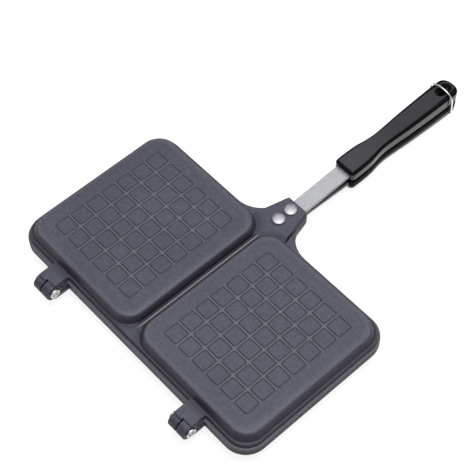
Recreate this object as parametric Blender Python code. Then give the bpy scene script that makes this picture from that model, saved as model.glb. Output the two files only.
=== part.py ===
"""Stovetop sandwich maker: two hinged cast pans with twin bakelite grips and a wire bail.

Metres, +Z up. X runs along the hinge edge, Y from the hinges to the grips. The pans lie closed, the
lower one on its dome tops, and the origin is under the middle of the whole object.

The two halves are the same casting. Each is drawn in its own half frame: Y from the middle of the pans,
Z outward from the parting plane. The lower half is the upper one turned 180 degrees about Y.
"""

import math

import bmesh
import bpy
from mathutils import Matrix, Vector

for leftover in list(bpy.data.objects):
    bpy.data.objects.remove(leftover, do_unlink=True)

MM = 0.001

# Fits and fineness
GAP = 0.3 * MM  # left between pieces that touch on the real object
OVERRUN = 3.0 * MM  # how far a cutter runs past what it cuts
BURY = 1.5 * MM  # how deep a joined shape starts inside its neighbour
CORNER_STEPS = 5
ROUND_STEPS = 20
SMOOTH_ANGLE = math.radians(35)

# Cast pans
PAN_HALF_X = 58.0 * MM  # dome foot
PAN_HALF_Y = 64.8 * MM
PAN_CORNER = 15.0 * MM
VALLEY = 4.4 * MM  # between the two domes
DOME_RISE = 6.8 * MM
DOME_DRAFT = math.radians(23)
DOME_EDGE = 3.2 * MM
DOME_FOOT_FILLET = 0.6 * MM
CORNER_TIGHTEN_SHARE = 0.5  # how fast the corner radius falls as the wall leans in
LEDGE_SIDE = 1.1 * MM  # ledge round the two domes
LEDGE_END = 1.3 * MM
LEDGE_HEIGHT = 7.8 * MM  # above the parting plane
SKIRT_DRAFT = 0.6 * MM
TOP_ROUND = 0.4 * MM
LIP_SIDE = 1.5 * MM
LIP_END = 2.1 * MM
LIP_HEIGHT = 3.9 * MM
LIP_CORNER = 18.0 * MM
LIP_ROUND = 0.8 * MM
FLOOR_WALL = 3.0 * MM
RIM_WALL = 2.0 * MM
CAVITY_LEAN = 6.6 * MM  # from the rim to the flat floor
CAVITY_CORNER = 13.5 * MM
CAVITY_SHARES = ((0.0, 0.0), (0.17, 0.56), (0.28, 0.7), (0.5, 0.87), (0.73, 0.96), (1.0, 1.0))

# Handle lug, part of each casting
LUG_REACH = 27.6 * MM  # from the lip to the lug's tip
LUG_TIP_HALF = 9.8 * MM
LUG_SPREAD = 7.1 * MM  # how much wider the lug is at its root, each side
LUG_CORNER = 1.6 * MM
LUG_DRAFT = 0.6 * MM
FLARE_RADIUS = 24.0 * MM
ROOT_FILLET = 1.5 * MM

# Strap and its rivets
STRAP_HALF = 6.65 * MM
STRAP_THICK = 2.0 * MM
STRAP_SINK = 1.0 * MM  # from the parting plane to the strap's inner face at the lug
STRAP_CLIMB = 2.5 * MM  # how much further out it lies in the grip
STRAP_START = 2.0 * MM  # behind the lip
STRAP_EXPOSED = 46.6 * MM
STRAP_BEND_LEAD = 2.0 * MM
STRAP_EDGE = 0.3 * MM
TANG_HALF = 4.2 * MM
TANG_SHOULDER = 10.0 * MM  # into the grip
TANG_TAPER = 8.0 * MM
TANG_LENGTH = 56.0 * MM
RIVET_HEAD = 5.1 * MM
RIVET_CROWN = 1.9 * MM
RIVET_RIM = 0.35 * MM
RIVET_SHANK = 2.5 * MM
RIVET_TAIL = 3.6 * MM
RIVET_INSET = 8.0 * MM  # outer rivet from the lug's tip
RIVET_SPACING = 11.9 * MM

# Grips
GRIP_LENGTH = 119.0 * MM
GRIP_HALF = 9.0 * MM
GRIP_INNER = 1.2 * MM  # inner face from the parting plane
GRIP_FRONT_RISE = 9.9 * MM
GRIP_TIP_RISE = 12.2 * MM
GRIP_SHOULDER = 2.8 * MM
GRIP_EDGE = 0.8 * MM
GRIP_FRONT_CORNER = 3.0 * MM
GRIP_FRONT_DROP = 1.0 * MM
GRIP_TIP_ROUND = 8.9 * MM
GRIP_TIP_DROP = 3.2 * MM
GRIP_TIP_POWER = 2.5  # 2 is a half circle in plan, more is squarer
GRIP_FRONT_STEPS = 4
GRIP_BODY_STEPS = 15
GRIP_TIP_STEPS = 7
GRIP_TIP_TURN = math.radians(84)  # how far round the tip the last section lies
GRIP_LENGTH_SHARES = (0.0, 0.1, 0.18, 0.25, 0.32, 0.42, 0.53, 0.745, 0.87, 1.0)
GRIP_WIDTH_SHARES = (1.085, 1.085, 1.03, 0.875, 0.785, 0.825, 0.91, 0.995, 1.02, 1.02)
GRIP_FLAT_SHARES = (0.74, 0.74, 0.735, 0.73, 0.725, 0.715, 0.7, 0.68, 0.61, 0.5)
SLOT_HALF = 4.3 * MM
SLOT_LENGTH = 15.0 * MM
SLOT_TIP_WALL = 3.6 * MM
SLOT_CORNER_SHARE = 0.98
SCREW_INSET = 47.0 * MM  # from the grip's front
SCREW_SHANK = 1.5 * MM
SCREW_HEAD = 2.9 * MM
SCREW_HEAD_THICK = 1.3 * MM
SCREW_DRIVE = 0.4 * MM
SCREW_DRIVE_DEPTH = 0.6 * MM
INSERT_WALL = 1.1 * MM
INSERT_LENGTH = 3.0 * MM

# Hinges
HINGE_HALF_SPACING = 73.1 * MM
HINGE_WIDTH = 16.0 * MM
HINGE_REACH = 11.1 * MM  # from the lip to the pin
HINGE_ROOT_FILLET = 1.2 * MM
HINGE_CORNER = 0.8 * MM
KNUCKLE_RADIUS = 6.6 * MM
KNUCKLE_SPLIT = 1.2 * MM  # between the two knuckles
KNUCKLE_ROUND = 0.35 * MM
KNUCKLE_CROWN_DROP = math.radians(9)
RUNNING_CLEARANCE = 0.35 * MM
OVERHANG_SETBACK = 1.0 * MM
PIN_SHANK = 2.2 * MM
PIN_HEAD = 4.1 * MM
PIN_HEAD_THICK = 1.0 * MM
PIN_RECESS = 2.1 * MM
PIN_RECESS_DEPTH = 0.6 * MM
PIN_TAIL = 3.4 * MM
PIN_TAIL_THICK = 0.9 * MM
PIN_CHAMFER = 0.35 * MM
WASHER_RADIUS = 4.2 * MM
WASHER_THICK = 0.7 * MM
SPACER_RADIUS = 4.0 * MM

# Wire bail
WIRE = 0.7 * MM
BAIL_PIVOT_SINK = 7.4 * MM  # below the parting plane
BAIL_CLEARANCE = 2.5 * MM  # from the upper grip to the crown of the bow
BAIL_SIDE_CLEARANCE = 1.3 * MM
BAIL_BITE = 2.6 * MM  # how far each end goes into the lower grip
BAIL_SHOULDER_DROP = 8.0 * MM
BAIL_BEND = 1.8 * MM
BAIL_BOW_POWER = 2.1
BAIL_BOW_STEPS = 16
BAIL_LEAN = math.radians(5)  # at rest, towards the hinges

# Places that follow from the sizes
PAN_PITCH = 2 * PAN_HALF_X + VALLEY
HALF_HEIGHT = LEDGE_HEIGHT + DOME_RISE
LEDGE_X = PAN_PITCH / 2 + PAN_HALF_X + LEDGE_SIDE
LEDGE_Y = PAN_HALF_Y + LEDGE_END
LIP_X = LEDGE_X + SKIRT_DRAFT + LIP_SIDE
LIP_Y = LEDGE_Y + SKIRT_DRAFT + LIP_END
LUG_TIP = LIP_Y + LUG_REACH
PIN_Y = -(LIP_Y + HINGE_REACH)
GRIP_FRONT = LUG_TIP + STRAP_EXPOSED
GRIP_TIP = GRIP_FRONT + GRIP_LENGTH
STRAP_BACK = LIP_Y + STRAP_START
SCREW_Y = GRIP_FRONT + SCREW_INSET
SLOT_Y = GRIP_TIP - SLOT_TIP_WALL - SLOT_LENGTH / 2
OUTER_RIVET_Y = LUG_TIP - RIVET_INSET
INNER_RIVET_Y = OUTER_RIVET_Y - RIVET_SPACING
PARTING_Z = HALF_HEIGHT
MIDDLE_Y = (GRIP_TIP + PIN_Y - KNUCKLE_RADIUS) / 2
STRAP_OUTER_LOW = STRAP_SINK + STRAP_THICK
STRAP_OUTER_HIGH = STRAP_OUTER_LOW + STRAP_CLIMB


def material(name, colour, roughness, metallic):
    made = bpy.data.materials.new(name)
    made.use_nodes = True
    shader = made.node_tree.nodes["Principled BSDF"]
    shader.inputs["Base Color"].default_value = (*colour, 1.0)
    shader.inputs["Roughness"].default_value = roughness
    shader.inputs["Metallic"].default_value = metallic
    return made


COATING = ((0.10, 0.10, 0.115), 0.5, 0.35)
BRUSHED = ((0.62, 0.62, 0.63), 0.35, 1.0)
BRIGHT = ((0.75, 0.75, 0.76), 0.2, 1.0)
BAKELITE = ((0.012, 0.012, 0.013), 0.22, 0.0)
YELLOW_BRASS = ((0.72, 0.52, 0.2), 0.3, 1.0)


# Outlines


def rounded_outline(corners, steps=CORNER_STEPS):
    """Points of a closed outline whose corners (x, y, radius) are rounded, outward or inward."""
    points = []
    for index, (x, y, radius) in enumerate(corners):
        here = Vector((x, y))
        before = Vector(corners[index - 1][:2]) - here
        after = Vector(corners[(index + 1) % len(corners)][:2]) - here
        half_angle = before.angle(after) / 2
        reach = radius / math.tan(half_angle)
        start = here + before.normalized() * reach
        end = here + after.normalized() * reach
        centre = here + (before.normalized() + after.normalized()).normalized() * (
            radius / math.sin(half_angle)
        )
        arm, goal = start - centre, end - centre
        turn = math.atan2(arm.x * goal.y - arm.y * goal.x, arm.dot(goal))
        for step in range(steps + 1):
            points.append(centre + Matrix.Rotation(turn * step / steps, 2) @ arm)
    return points


def rounded_rectangle(half_x, half_y, radius, middle_x=0.0):
    signs = ((1, -1), (1, 1), (-1, 1), (-1, -1))
    return rounded_outline([(middle_x + sx * half_x, sy * half_y, radius) for sx, sy in signs])


def blend(share, shares, values):
    """The smooth curve through the values at the shares, read at one share."""
    slopes = []
    for index in range(len(shares)):
        low, high = max(index - 1, 0), min(index + 1, len(shares) - 1)
        slopes.append((values[high] - values[low]) / (shares[high] - shares[low]))
    for index in range(len(shares) - 1):
        if share <= shares[index + 1] or index == len(shares) - 2:
            span = shares[index + 1] - shares[index]
            t = (share - shares[index]) / span
            return (
                (2 * t**3 - 3 * t**2 + 1) * values[index]
                + (t**3 - 2 * t**2 + t) * span * slopes[index]
                + (3 * t**2 - 2 * t**3) * values[index + 1]
                + (t**3 - t**2) * span * slopes[index + 1]
            )


# Solids


def loft(rings):
    """A closed solid through rings of points, all with the same count."""
    shape = bmesh.new()
    made = [[shape.verts.new(point) for point in ring] for ring in rings]
    for lower, upper in zip(made, made[1:]):
        for index in range(len(lower)):
            after = (index + 1) % len(lower)
            shape.faces.new((lower[index], lower[after], upper[after], upper[index]))
    shape.faces.new(reversed(made[0]))
    shape.faces.new(made[-1])
    bmesh.ops.recalc_face_normals(shape, faces=shape.faces)
    return shape


def level_loft(levels):
    """A loft through (outline, height) pairs."""
    return loft([[(x, y, height) for x, y in outline] for outline, height in levels])


def turned(profile, place=None, steps=ROUND_STEPS):
    """A solid turned about Z from (radius, height) pairs; both ends lie on the axis, and place moves it."""
    shape = bmesh.new()
    rings = []
    for radius, height in profile:
        if radius == 0:
            rings.append([shape.verts.new((0, 0, height))] * steps)
            continue
        angles = [2 * math.pi * (step + 0.5) / steps for step in range(steps)]
        rings.append(
            [shape.verts.new((radius * math.cos(a), radius * math.sin(a), height)) for a in angles]
        )
    for lower, upper in zip(rings, rings[1:]):
        for index in range(steps):
            after = (index + 1) % steps
            corners = (lower[index], lower[after], upper[after], upper[index])
            shape.faces.new(list(dict.fromkeys(corners)))
    bmesh.ops.recalc_face_normals(shape, faces=shape.faces)
    if place:
        bmesh.ops.transform(shape, matrix=place, verts=shape.verts)
    return shape


def rod(radius, low, high, place=None):
    return turned([(0, low), (radius, low), (radius, high), (0, high)], place)


def ring(outer, inner, low, high, place=None):
    """A flat ring about Z, such as a washer."""
    shape = bmesh.new()
    angles = [2 * math.pi * (step + 0.5) / ROUND_STEPS for step in range(ROUND_STEPS)]
    corners = ((outer, low), (outer, high), (inner, high), (inner, low))
    loops = [
        [shape.verts.new((r * math.cos(a), r * math.sin(a), z)) for a in angles] for r, z in corners
    ]
    for index, loop in enumerate(loops):
        following = loops[(index + 1) % len(loops)]
        for step in range(ROUND_STEPS):
            after = (step + 1) % ROUND_STEPS
            shape.faces.new((loop[step], loop[after], following[after], following[step]))
    bmesh.ops.recalc_face_normals(shape, faces=shape.faces)
    if place:
        bmesh.ops.transform(shape, matrix=place, verts=shape.verts)
    return shape


def block(low, high):
    shape = bmesh.new()
    size = Vector(high) - Vector(low)
    bmesh.ops.create_cube(shape, size=1)
    bmesh.ops.scale(shape, vec=size, verts=shape.verts)
    bmesh.ops.translate(shape, vec=Vector(low) + size / 2, verts=shape.verts)
    return shape


def gathered(shapes):
    """One shape that holds several separate bodies."""
    whole = bmesh.new()
    for shape in shapes:
        part = bpy.data.meshes.new("part")
        shape.to_mesh(part)
        shape.free()
        whole.from_mesh(part)
        bpy.data.meshes.remove(part)
    return whole


ALONG_X = Matrix.Rotation(math.pi / 2, 4, "Y")


# Objects


def add(name, shape, place, look=None):
    """An object at place, a (location, turned over, parent) triple, with its own material."""
    mesh = bpy.data.meshes.new(name)
    shape.to_mesh(mesh)
    shape.free()
    mesh.shade_smooth()
    mesh.set_sharp_from_angle(angle=SMOOTH_ANGLE)
    made = bpy.data.objects.new(name, mesh)
    location, turned_over, parent = place
    made.location = location
    made.rotation_euler = (0, math.pi if turned_over else 0, 0)
    made.parent = parent
    bpy.context.scene.collection.objects.link(made)
    if look:
        mesh.materials.append(material(name, *look))
    else:
        made.hide_render = True
        made.display_type = "WIRE"
    return made


def combine(target, operation, name, shape, place):
    """Joins a helper shape to the target, or cuts it away, with a Boolean."""
    helper = add(name, shape, place)
    step = target.modifiers.new(name, "BOOLEAN")
    step.operation = operation
    step.solver = "EXACT"
    step.object = helper


# The casting


def casting_outline(inset, ledge):
    """The plan of a casting, with its handle lug and hinge roots: at the lip, or above it at the ledge.

    The corners run anticlockwise from the right-hand side of the hinge edge.
    """
    if ledge:
        half_x, half_y, corner, flare = LEDGE_X, LEDGE_Y, PAN_CORNER, ROOT_FILLET
    else:
        half_x, half_y, corner, flare = LIP_X, LIP_Y, LIP_CORNER, FLARE_RADIUS
    half_x, half_y = half_x - inset, half_y - inset
    tip = LUG_TIP - inset - (LUG_DRAFT if ledge else 0)
    tip_half = LUG_TIP_HALF - inset - (LUG_DRAFT if ledge else 0)
    root_half = tip_half + LUG_SPREAD * (tip - half_y) / LUG_REACH
    corners = [(half_x, half_y, corner - inset), (root_half, half_y, flare + inset)]
    corners += [(tip_half, tip, LUG_CORNER), (-tip_half, tip, LUG_CORNER)]
    corners += [(-root_half, half_y, flare + inset), (-half_x, half_y, corner - inset)]
    corners += [(-half_x, -half_y, corner - inset)]
    for middle in (-HINGE_HALF_SPACING, HINGE_HALF_SPACING):
        half = HINGE_WIDTH / 2 - inset
        end = PIN_Y + OVERHANG_SETBACK + inset
        corners += [(middle - half, -half_y, HINGE_ROOT_FILLET + inset)]
        corners += [(middle - half, end, HINGE_CORNER), (middle + half, end, HINGE_CORNER)]
        corners += [(middle + half, -half_y, HINGE_ROOT_FILLET + inset)]
    corners += [(half_x, -half_y, corner - inset)]
    return rounded_outline(corners)


def casting_slab():
    """The flat part of a casting: the lip, the skirt above it and the ledge round the domes."""
    low = GAP / 2
    fall = LIP_ROUND * (1 - math.cos(math.pi / 4))
    slab_levels = [
        (casting_outline(LIP_ROUND / 2, False), low),
        (casting_outline(0, False), low + LIP_ROUND / 2),
        (casting_outline(0, False), LIP_HEIGHT - LIP_ROUND),
        (casting_outline(fall, False), LIP_HEIGHT - fall),
        (casting_outline(LIP_ROUND, False), LIP_HEIGHT),
        (casting_outline(-SKIRT_DRAFT, True), LIP_HEIGHT + fall),
        (casting_outline(0, True), LEDGE_HEIGHT - TOP_ROUND),
        (casting_outline(TOP_ROUND, True), LEDGE_HEIGHT),
    ]
    return level_loft(slab_levels)


def dome_profile():
    """(inset, height) pairs up the outside of a dome: fillet, leaning wall and rounded edge."""
    foot = DOME_FOOT_FILLET
    lean = math.pi / 2 - DOME_DRAFT
    wall = DOME_RISE - DOME_EDGE * (1 - math.cos(lean))
    run = wall * math.tan(DOME_DRAFT)
    profile = [(-foot, -BURY), (-foot, 0), (foot * math.tan(DOME_DRAFT), foot), (run, wall)]
    for step in range(1, CORNER_STEPS):
        angle = lean * (1 - step / (CORNER_STEPS - 1))
        across = run + DOME_EDGE * (math.sin(lean) - math.sin(angle))
        profile.append((across, DOME_RISE - DOME_EDGE * (1 - math.cos(angle))))
    return profile


def pan_outline(inset, middle_x, corner):
    radius = corner - max(inset, 0) * CORNER_TIGHTEN_SHARE
    return rounded_rectangle(PAN_HALF_X - inset, PAN_HALF_Y - inset, radius, middle_x)


def dome(middle_x):
    return level_loft(
        [(pan_outline(i, middle_x, PAN_CORNER), LEDGE_HEIGHT + h) for i, h in dome_profile()]
    )


def cavity(middle_x):
    """The hollow that holds one slice, open at the parting plane."""
    depth = HALF_HEIGHT - FLOOR_WALL
    levels = [(pan_outline(RIM_WALL, middle_x, CAVITY_CORNER), -OVERRUN)]
    for inset_share, depth_share in CAVITY_SHARES:
        inset = RIM_WALL + inset_share * CAVITY_LEAN
        levels.append((pan_outline(inset, middle_x, CAVITY_CORNER), depth_share * depth))
    return level_loft(levels)


def knuckle_outline(inset):
    """A knuckle's side view as (y, z): a circle round the pin whose crown runs back flush with the ledge."""
    radius, crown = KNUCKLE_RADIUS - inset, LEDGE_HEIGHT - inset
    points = [(PIN_Y, crown)]
    start, end = math.pi / 2 + KNUCKLE_CROWN_DROP, 2 * math.pi
    for step in range(ROUND_STEPS + 1):
        angle = start + (end - start) * step / ROUND_STEPS
        points.append((PIN_Y + radius * math.cos(angle), radius * math.sin(angle)))
    points += [(PIN_Y + radius, LIP_HEIGHT), (PIN_Y + OVERHANG_SETBACK + BURY, crown)]
    return points


def knuckle(middle_x):
    """This half's own knuckle: the -X side of each hinge."""
    low, high = middle_x - HINGE_WIDTH / 2, middle_x - KNUCKLE_SPLIT / 2
    stations = ((low, KNUCKLE_ROUND), (low + KNUCKLE_ROUND, 0), (high, 0))
    return loft([[(x, y, z) for y, z in knuckle_outline(inset)] for x, inset in stations])


def around_pin(middle_x):
    return Matrix.Translation((middle_x, PIN_Y, 0)) @ ALONG_X


def plate(name, place):
    """One casting: twin domes, ledge, lip, handle lug and hinge knuckles, hollowed and bored."""
    made = add(name, casting_slab(), place, COATING)
    domes = (-PAN_PITCH / 2, PAN_PITCH / 2)
    hinges = (-HINGE_HALF_SPACING, HINGE_HALF_SPACING)
    combine(made, "UNION", name + ".domes", gathered(dome(x) for x in domes), place)
    combine(made, "UNION", name + ".knuckles", gathered(knuckle(x) for x in hinges), place)
    hollows = [cavity(x) for x in domes]
    reach = HINGE_WIDTH / 2 + OVERRUN
    swing = KNUCKLE_RADIUS + RUNNING_CLEARANCE
    hollows += [rod(swing, -KNUCKLE_SPLIT / 2, reach, around_pin(x)) for x in hinges]
    half = STRAP_HALF + GAP
    pocket = ((-half, STRAP_BACK - GAP, -OVERRUN), (half, LUG_TIP + OVERRUN, STRAP_OUTER_LOW + GAP))
    hollows.append(block(*pocket))
    combine(made, "DIFFERENCE", name + ".hollows", gathered(hollows), place)
    bores = [rod(PIN_SHANK + GAP, -reach, reach, around_pin(x)) for x in hinges]
    for y in (INNER_RIVET_Y, OUTER_RIVET_Y):
        at = Matrix.Translation((0, y, 0))
        bores.append(rod(RIVET_SHANK + GAP, -OVERRUN, LEDGE_HEIGHT + OVERRUN, at))
    combine(made, "DIFFERENCE", name + ".bores", gathered(bores), place)
    return made


# Strap, rivets, grip


def strap_section(y, half, low, edge):
    """A rectangle with broken edges, round the strap at one place along it."""
    high, e = low + STRAP_THICK, edge
    corners = ((half - e, low), (half, low + e), (half, high - e), (half - e, high))
    right = [(x, y, z) for x, z in corners]
    return right + [(-x, y, z) for x, y, z in reversed(right)]


def strap_stations(clearance=0.0):
    """(y, half width, inner height) along the strap; the clearance widens it for the grip's socket."""
    shoulder = GRIP_FRONT + TANG_SHOULDER
    end = GRIP_FRONT + TANG_LENGTH + clearance
    inner = STRAP_SINK + STRAP_CLIMB
    return [
        (STRAP_BACK, STRAP_HALF, STRAP_SINK),
        (LUG_TIP + STRAP_BEND_LEAD, STRAP_HALF, STRAP_SINK),
        (GRIP_FRONT - STRAP_BEND_LEAD, STRAP_HALF, inner),
        (shoulder, STRAP_HALF + clearance, inner),
        (shoulder + TANG_TAPER, TANG_HALF + clearance, inner),
        (end, TANG_HALF + clearance, inner),
    ]


def strap(name, place):
    rings = [strap_section(y, half, low, STRAP_EDGE) for y, half, low in strap_stations()]
    made = add(name, loft(rings), place, BRUSHED)
    holes = []
    for y, radius in (
        (INNER_RIVET_Y, RIVET_SHANK),
        (OUTER_RIVET_Y, RIVET_SHANK),
        (SCREW_Y, SCREW_SHANK),
    ):
        at = Matrix.Translation((0, y, 0))
        holes.append(rod(radius + GAP, -OVERRUN, STRAP_OUTER_HIGH + OVERRUN, at))
    combine(made, "DIFFERENCE", name + ".holes", gathered(holes), place)
    return made


def rivet(name, y, place):
    """Domed head on the lug, shank through lug and strap, tail peened over inside."""
    seat = LEDGE_HEIGHT + GAP
    tail_high = STRAP_SINK - GAP
    profile = [(0, GAP / 2), (RIVET_TAIL, GAP / 2), (RIVET_TAIL, tail_high), (RIVET_SHANK, tail_high)]
    profile += [(RIVET_SHANK, seat), (RIVET_HEAD, seat)]
    for step in range(CORNER_STEPS + 1):
        angle = math.pi / 2 * step / CORNER_STEPS
        height = RIVET_RIM + (RIVET_CROWN - RIVET_RIM) * math.sin(angle)
        profile.append((RIVET_HEAD * math.cos(angle) if step < CORNER_STEPS else 0, seat + height))
    return add(name, turned(profile, Matrix.Translation((0, y, 0))), place, BRIGHT)


def grip_section(y, half, flat, rise):
    """Round a grip at one place: flat inner face, upright sides, rounded shoulders and a flat outer face."""
    low, e = GRIP_INNER, GRIP_EDGE
    right = []
    for step in range(3):
        angle = math.pi / 4 * step
        right.append((half - e + e * math.sin(angle), low + e - e * math.cos(angle)))
    for step in range(CORNER_STEPS + 1):
        angle = math.pi / 2 * step / CORNER_STEPS
        across = flat + (half - flat) * math.cos(angle)
        right.append((across, rise - GRIP_SHOULDER * (1 - math.sin(angle))))
    return [(x, y, z) for x, z in right] + [(-x, y, z) for x, z in reversed(right)]


def grip_shape():
    """The outside of a grip, front corners and rounded tip included."""
    rings = []
    tip_start = GRIP_LENGTH - GRIP_TIP_ROUND

    def section(along, width_factor, width_cut, drop):
        share = along / GRIP_LENGTH
        half = GRIP_HALF * blend(share, GRIP_LENGTH_SHARES, GRIP_WIDTH_SHARES) * width_factor
        flat = (half - width_cut) * blend(share, GRIP_LENGTH_SHARES, GRIP_FLAT_SHARES)
        rise = GRIP_FRONT_RISE + (GRIP_TIP_RISE - GRIP_FRONT_RISE) * min(along / tip_start, 1)
        rings.append(grip_section(GRIP_FRONT + along, half - width_cut, flat, rise - drop))

    for step in range(1, GRIP_FRONT_STEPS + 1):
        angle = math.pi / 2 * step / GRIP_FRONT_STEPS
        keep = 1 - math.sin(angle)
        along = GRIP_FRONT_CORNER * (1 - math.cos(angle))
        section(along, 1, GRIP_FRONT_CORNER * keep, GRIP_FRONT_DROP * keep)
    for step in range(1, GRIP_BODY_STEPS + 1):
        along = GRIP_FRONT_CORNER + (tip_start - GRIP_FRONT_CORNER) * step / GRIP_BODY_STEPS
        section(along, 1, 0, 0)
    for step in range(1, GRIP_TIP_STEPS + 1):
        angle = GRIP_TIP_TURN * step / GRIP_TIP_STEPS
        forward = (math.sin(angle) / math.sin(GRIP_TIP_TURN)) ** (2 / GRIP_TIP_POWER)
        narrowing = math.cos(angle) ** (2 / GRIP_TIP_POWER)
        drop = GRIP_TIP_DROP * (1 - math.cos(angle))
        section(tip_start + GRIP_TIP_ROUND * forward, narrowing, 0, drop)
    return loft(rings)


def grip_socket():
    """The blind socket for the strap, open at the grip's front."""
    rings = []
    for y, half, low in strap_stations(GAP)[2:]:
        across = half if half > STRAP_HALF or y > GRIP_FRONT else half + GAP
        low, high = low - GAP, low + STRAP_THICK + GAP
        rings.append([(across, y, low), (across, y, high), (-across, y, high), (-across, y, low)])
    return loft(rings)


def grip(name, place, pivots):
    """A moulded grip with its strap socket, screw hole, hanging slot and, on the lower one, bail pivots."""
    made = add(name, grip_shape(), place, BAKELITE)
    combine(made, "DIFFERENCE", name + ".socket", grip_socket(), place)
    insert_top = STRAP_OUTER_HIGH + GAP + INSERT_LENGTH + GAP
    at = Matrix.Translation((0, SCREW_Y, 0))
    cuts = [rod(SCREW_HEAD + GAP, -OVERRUN, insert_top, at)]
    slot_end = SLOT_LENGTH / 2
    signs = ((1, -1), (1, 1), (-1, 1), (-1, -1))
    corner = SLOT_HALF * SLOT_CORNER_SHARE
    outline = rounded_outline([(sx * SLOT_HALF, SLOT_Y + sy * slot_end, corner) for sx, sy in signs])
    cuts.append(level_loft([(outline, -OVERRUN), (outline, GRIP_TIP_RISE + OVERRUN)]))
    if pivots:
        for side in (-1, 1):
            inner = side * (BAIL_LEG_X - BAIL_DEPTH - GAP)
            span = sorted((inner, side * (BAIL_LEG_X + OVERRUN)))
            cuts.append(rod(WIRE + GAP, *span, Matrix.Translation((0, SLOT_Y, BAIL_PIVOT_SINK)) @ ALONG_X))
    combine(made, "DIFFERENCE", name + ".holes", gathered(cuts), place)
    return made


def grip_screw(name, place):
    """Screw from the inner face, its slotted head against the strap, its shank in the insert."""
    head_top = STRAP_SINK + STRAP_CLIMB - GAP
    head_low = head_top - SCREW_HEAD_THICK
    end = STRAP_OUTER_HIGH + GAP + INSERT_LENGTH
    profile = [(0, head_low), (SCREW_HEAD, head_low), (SCREW_HEAD, head_top), (SCREW_SHANK, head_top)]
    profile += [(SCREW_SHANK, end), (0, end)]
    at = Matrix.Translation((0, SCREW_Y, 0))
    made = add(name, turned(profile, at), place, BRIGHT)
    drive = block(
        (-SCREW_HEAD - OVERRUN, SCREW_Y - SCREW_DRIVE, head_low - OVERRUN),
        (SCREW_HEAD + OVERRUN, SCREW_Y + SCREW_DRIVE, head_low + SCREW_DRIVE_DEPTH),
    )
    combine(made, "DIFFERENCE", name + ".drive", drive, place)
    return made


def grip_insert(name, place):
    bore = SCREW_SHANK + GAP
    low = STRAP_OUTER_HIGH + GAP
    at = Matrix.Translation((0, SCREW_Y, 0))
    return add(name, ring(bore + INSERT_WALL, bore, low, low + INSERT_LENGTH, at), place, YELLOW_BRASS)


# Hinge hardware, round the pin's axis


def hinge_pin(name, place):
    """Hollow-headed pin: head against the lower knuckle, far end peened over a washer."""
    head_low = HINGE_WIDTH / 2 + GAP
    head_high = head_low + PIN_HEAD_THICK
    tail_high = -(HINGE_WIDTH / 2 + GAP + WASHER_THICK + GAP)
    tail_low = tail_high - PIN_TAIL_THICK
    floor = head_high - PIN_RECESS_DEPTH
    profile = [(0, tail_low), (PIN_TAIL - PIN_CHAMFER, tail_low), (PIN_TAIL, tail_low + PIN_CHAMFER)]
    profile += [(PIN_TAIL, tail_high), (PIN_SHANK, tail_high), (PIN_SHANK, head_low), (PIN_HEAD, head_low)]
    profile += [(PIN_HEAD, head_high - PIN_CHAMFER), (PIN_HEAD - PIN_CHAMFER, head_high)]
    profile += [(PIN_RECESS + PIN_CHAMFER, head_high), (PIN_RECESS, floor), (0, floor)]
    return add(name, turned(profile, ALONG_X), place, BRIGHT)


def hinge_spacer(name, place):
    half = KNUCKLE_SPLIT / 2 - GAP
    return add(name, ring(SPACER_RADIUS, PIN_SHANK + GAP, -half, half, ALONG_X), place, BRUSHED)


def hinge_washer(name, place):
    high = -(HINGE_WIDTH / 2 + GAP)
    shape = ring(WASHER_RADIUS, PIN_SHANK + GAP, high - WASHER_THICK, high, ALONG_X)
    return add(name, shape, place, BRUSHED)


# Wire bail, round its own pivot axis

BAIL_LEG_X = GRIP_HALF * GRIP_WIDTH_SHARES[-1] + BAIL_SIDE_CLEARANCE + WIRE
BAIL_DEPTH = BAIL_SIDE_CLEARANCE + WIRE + BAIL_BITE
BAIL_TOP = BAIL_PIVOT_SINK + GRIP_TIP_RISE + BAIL_CLEARANCE + WIRE


def bail_route():
    """(x, z) points of the wire from one pivot end over the grips to the other."""
    right = [(BAIL_LEG_X - BAIL_DEPTH, 0)]
    for step in range(CORNER_STEPS + 1):
        angle = math.pi / 2 * step / CORNER_STEPS
        right.append((BAIL_LEG_X - BAIL_BEND * (1 - math.sin(angle)), BAIL_BEND * (1 - math.cos(angle))))
    shoulder = BAIL_TOP - BAIL_SHOULDER_DROP
    for step in range(BAIL_BOW_STEPS + 1):
        angle = math.pi / 2 * step / BAIL_BOW_STEPS
        across = max(math.cos(angle), 0) ** (2 / BAIL_BOW_POWER)
        up = math.sin(angle) ** (2 / BAIL_BOW_POWER)
        right.append((BAIL_LEG_X * across, shoulder + BAIL_SHOULDER_DROP * up))
    return right + [(-x, z) for x, z in reversed(right[:-1])]


def bail(name, place):
    """A round wire bent to a bow that swings over the ends of both grips, leaning back at rest."""
    line = bpy.data.curves.new(name, "CURVE")
    line.dimensions = "3D"
    line.bevel_depth = WIRE
    line.bevel_resolution = 2
    line.use_fill_caps = True
    route = bail_route()
    spline = line.splines.new("POLY")
    spline.points.add(len(route) - 1)
    for point, (x, z) in zip(spline.points, route):
        point.co = (x, 0, z, 1)
    line.materials.append(material(name, *BRIGHT))
    made = bpy.data.objects.new(name, line)
    made.location = place
    made.rotation_euler = (BAIL_LEAN, 0, 0)
    bpy.context.scene.collection.objects.link(made)
    return made


# Assembly

lid_axis = bpy.data.objects.new("lid_hinge_axis", None)
lid_axis.location = (0, PIN_Y - MIDDLE_Y, PARTING_Z)
bpy.context.scene.collection.objects.link(lid_axis)

LOWER = ((0, -MIDDLE_Y, PARTING_Z), True, None)
UPPER = ((0, -PIN_Y, 0), False, lid_axis)

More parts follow.
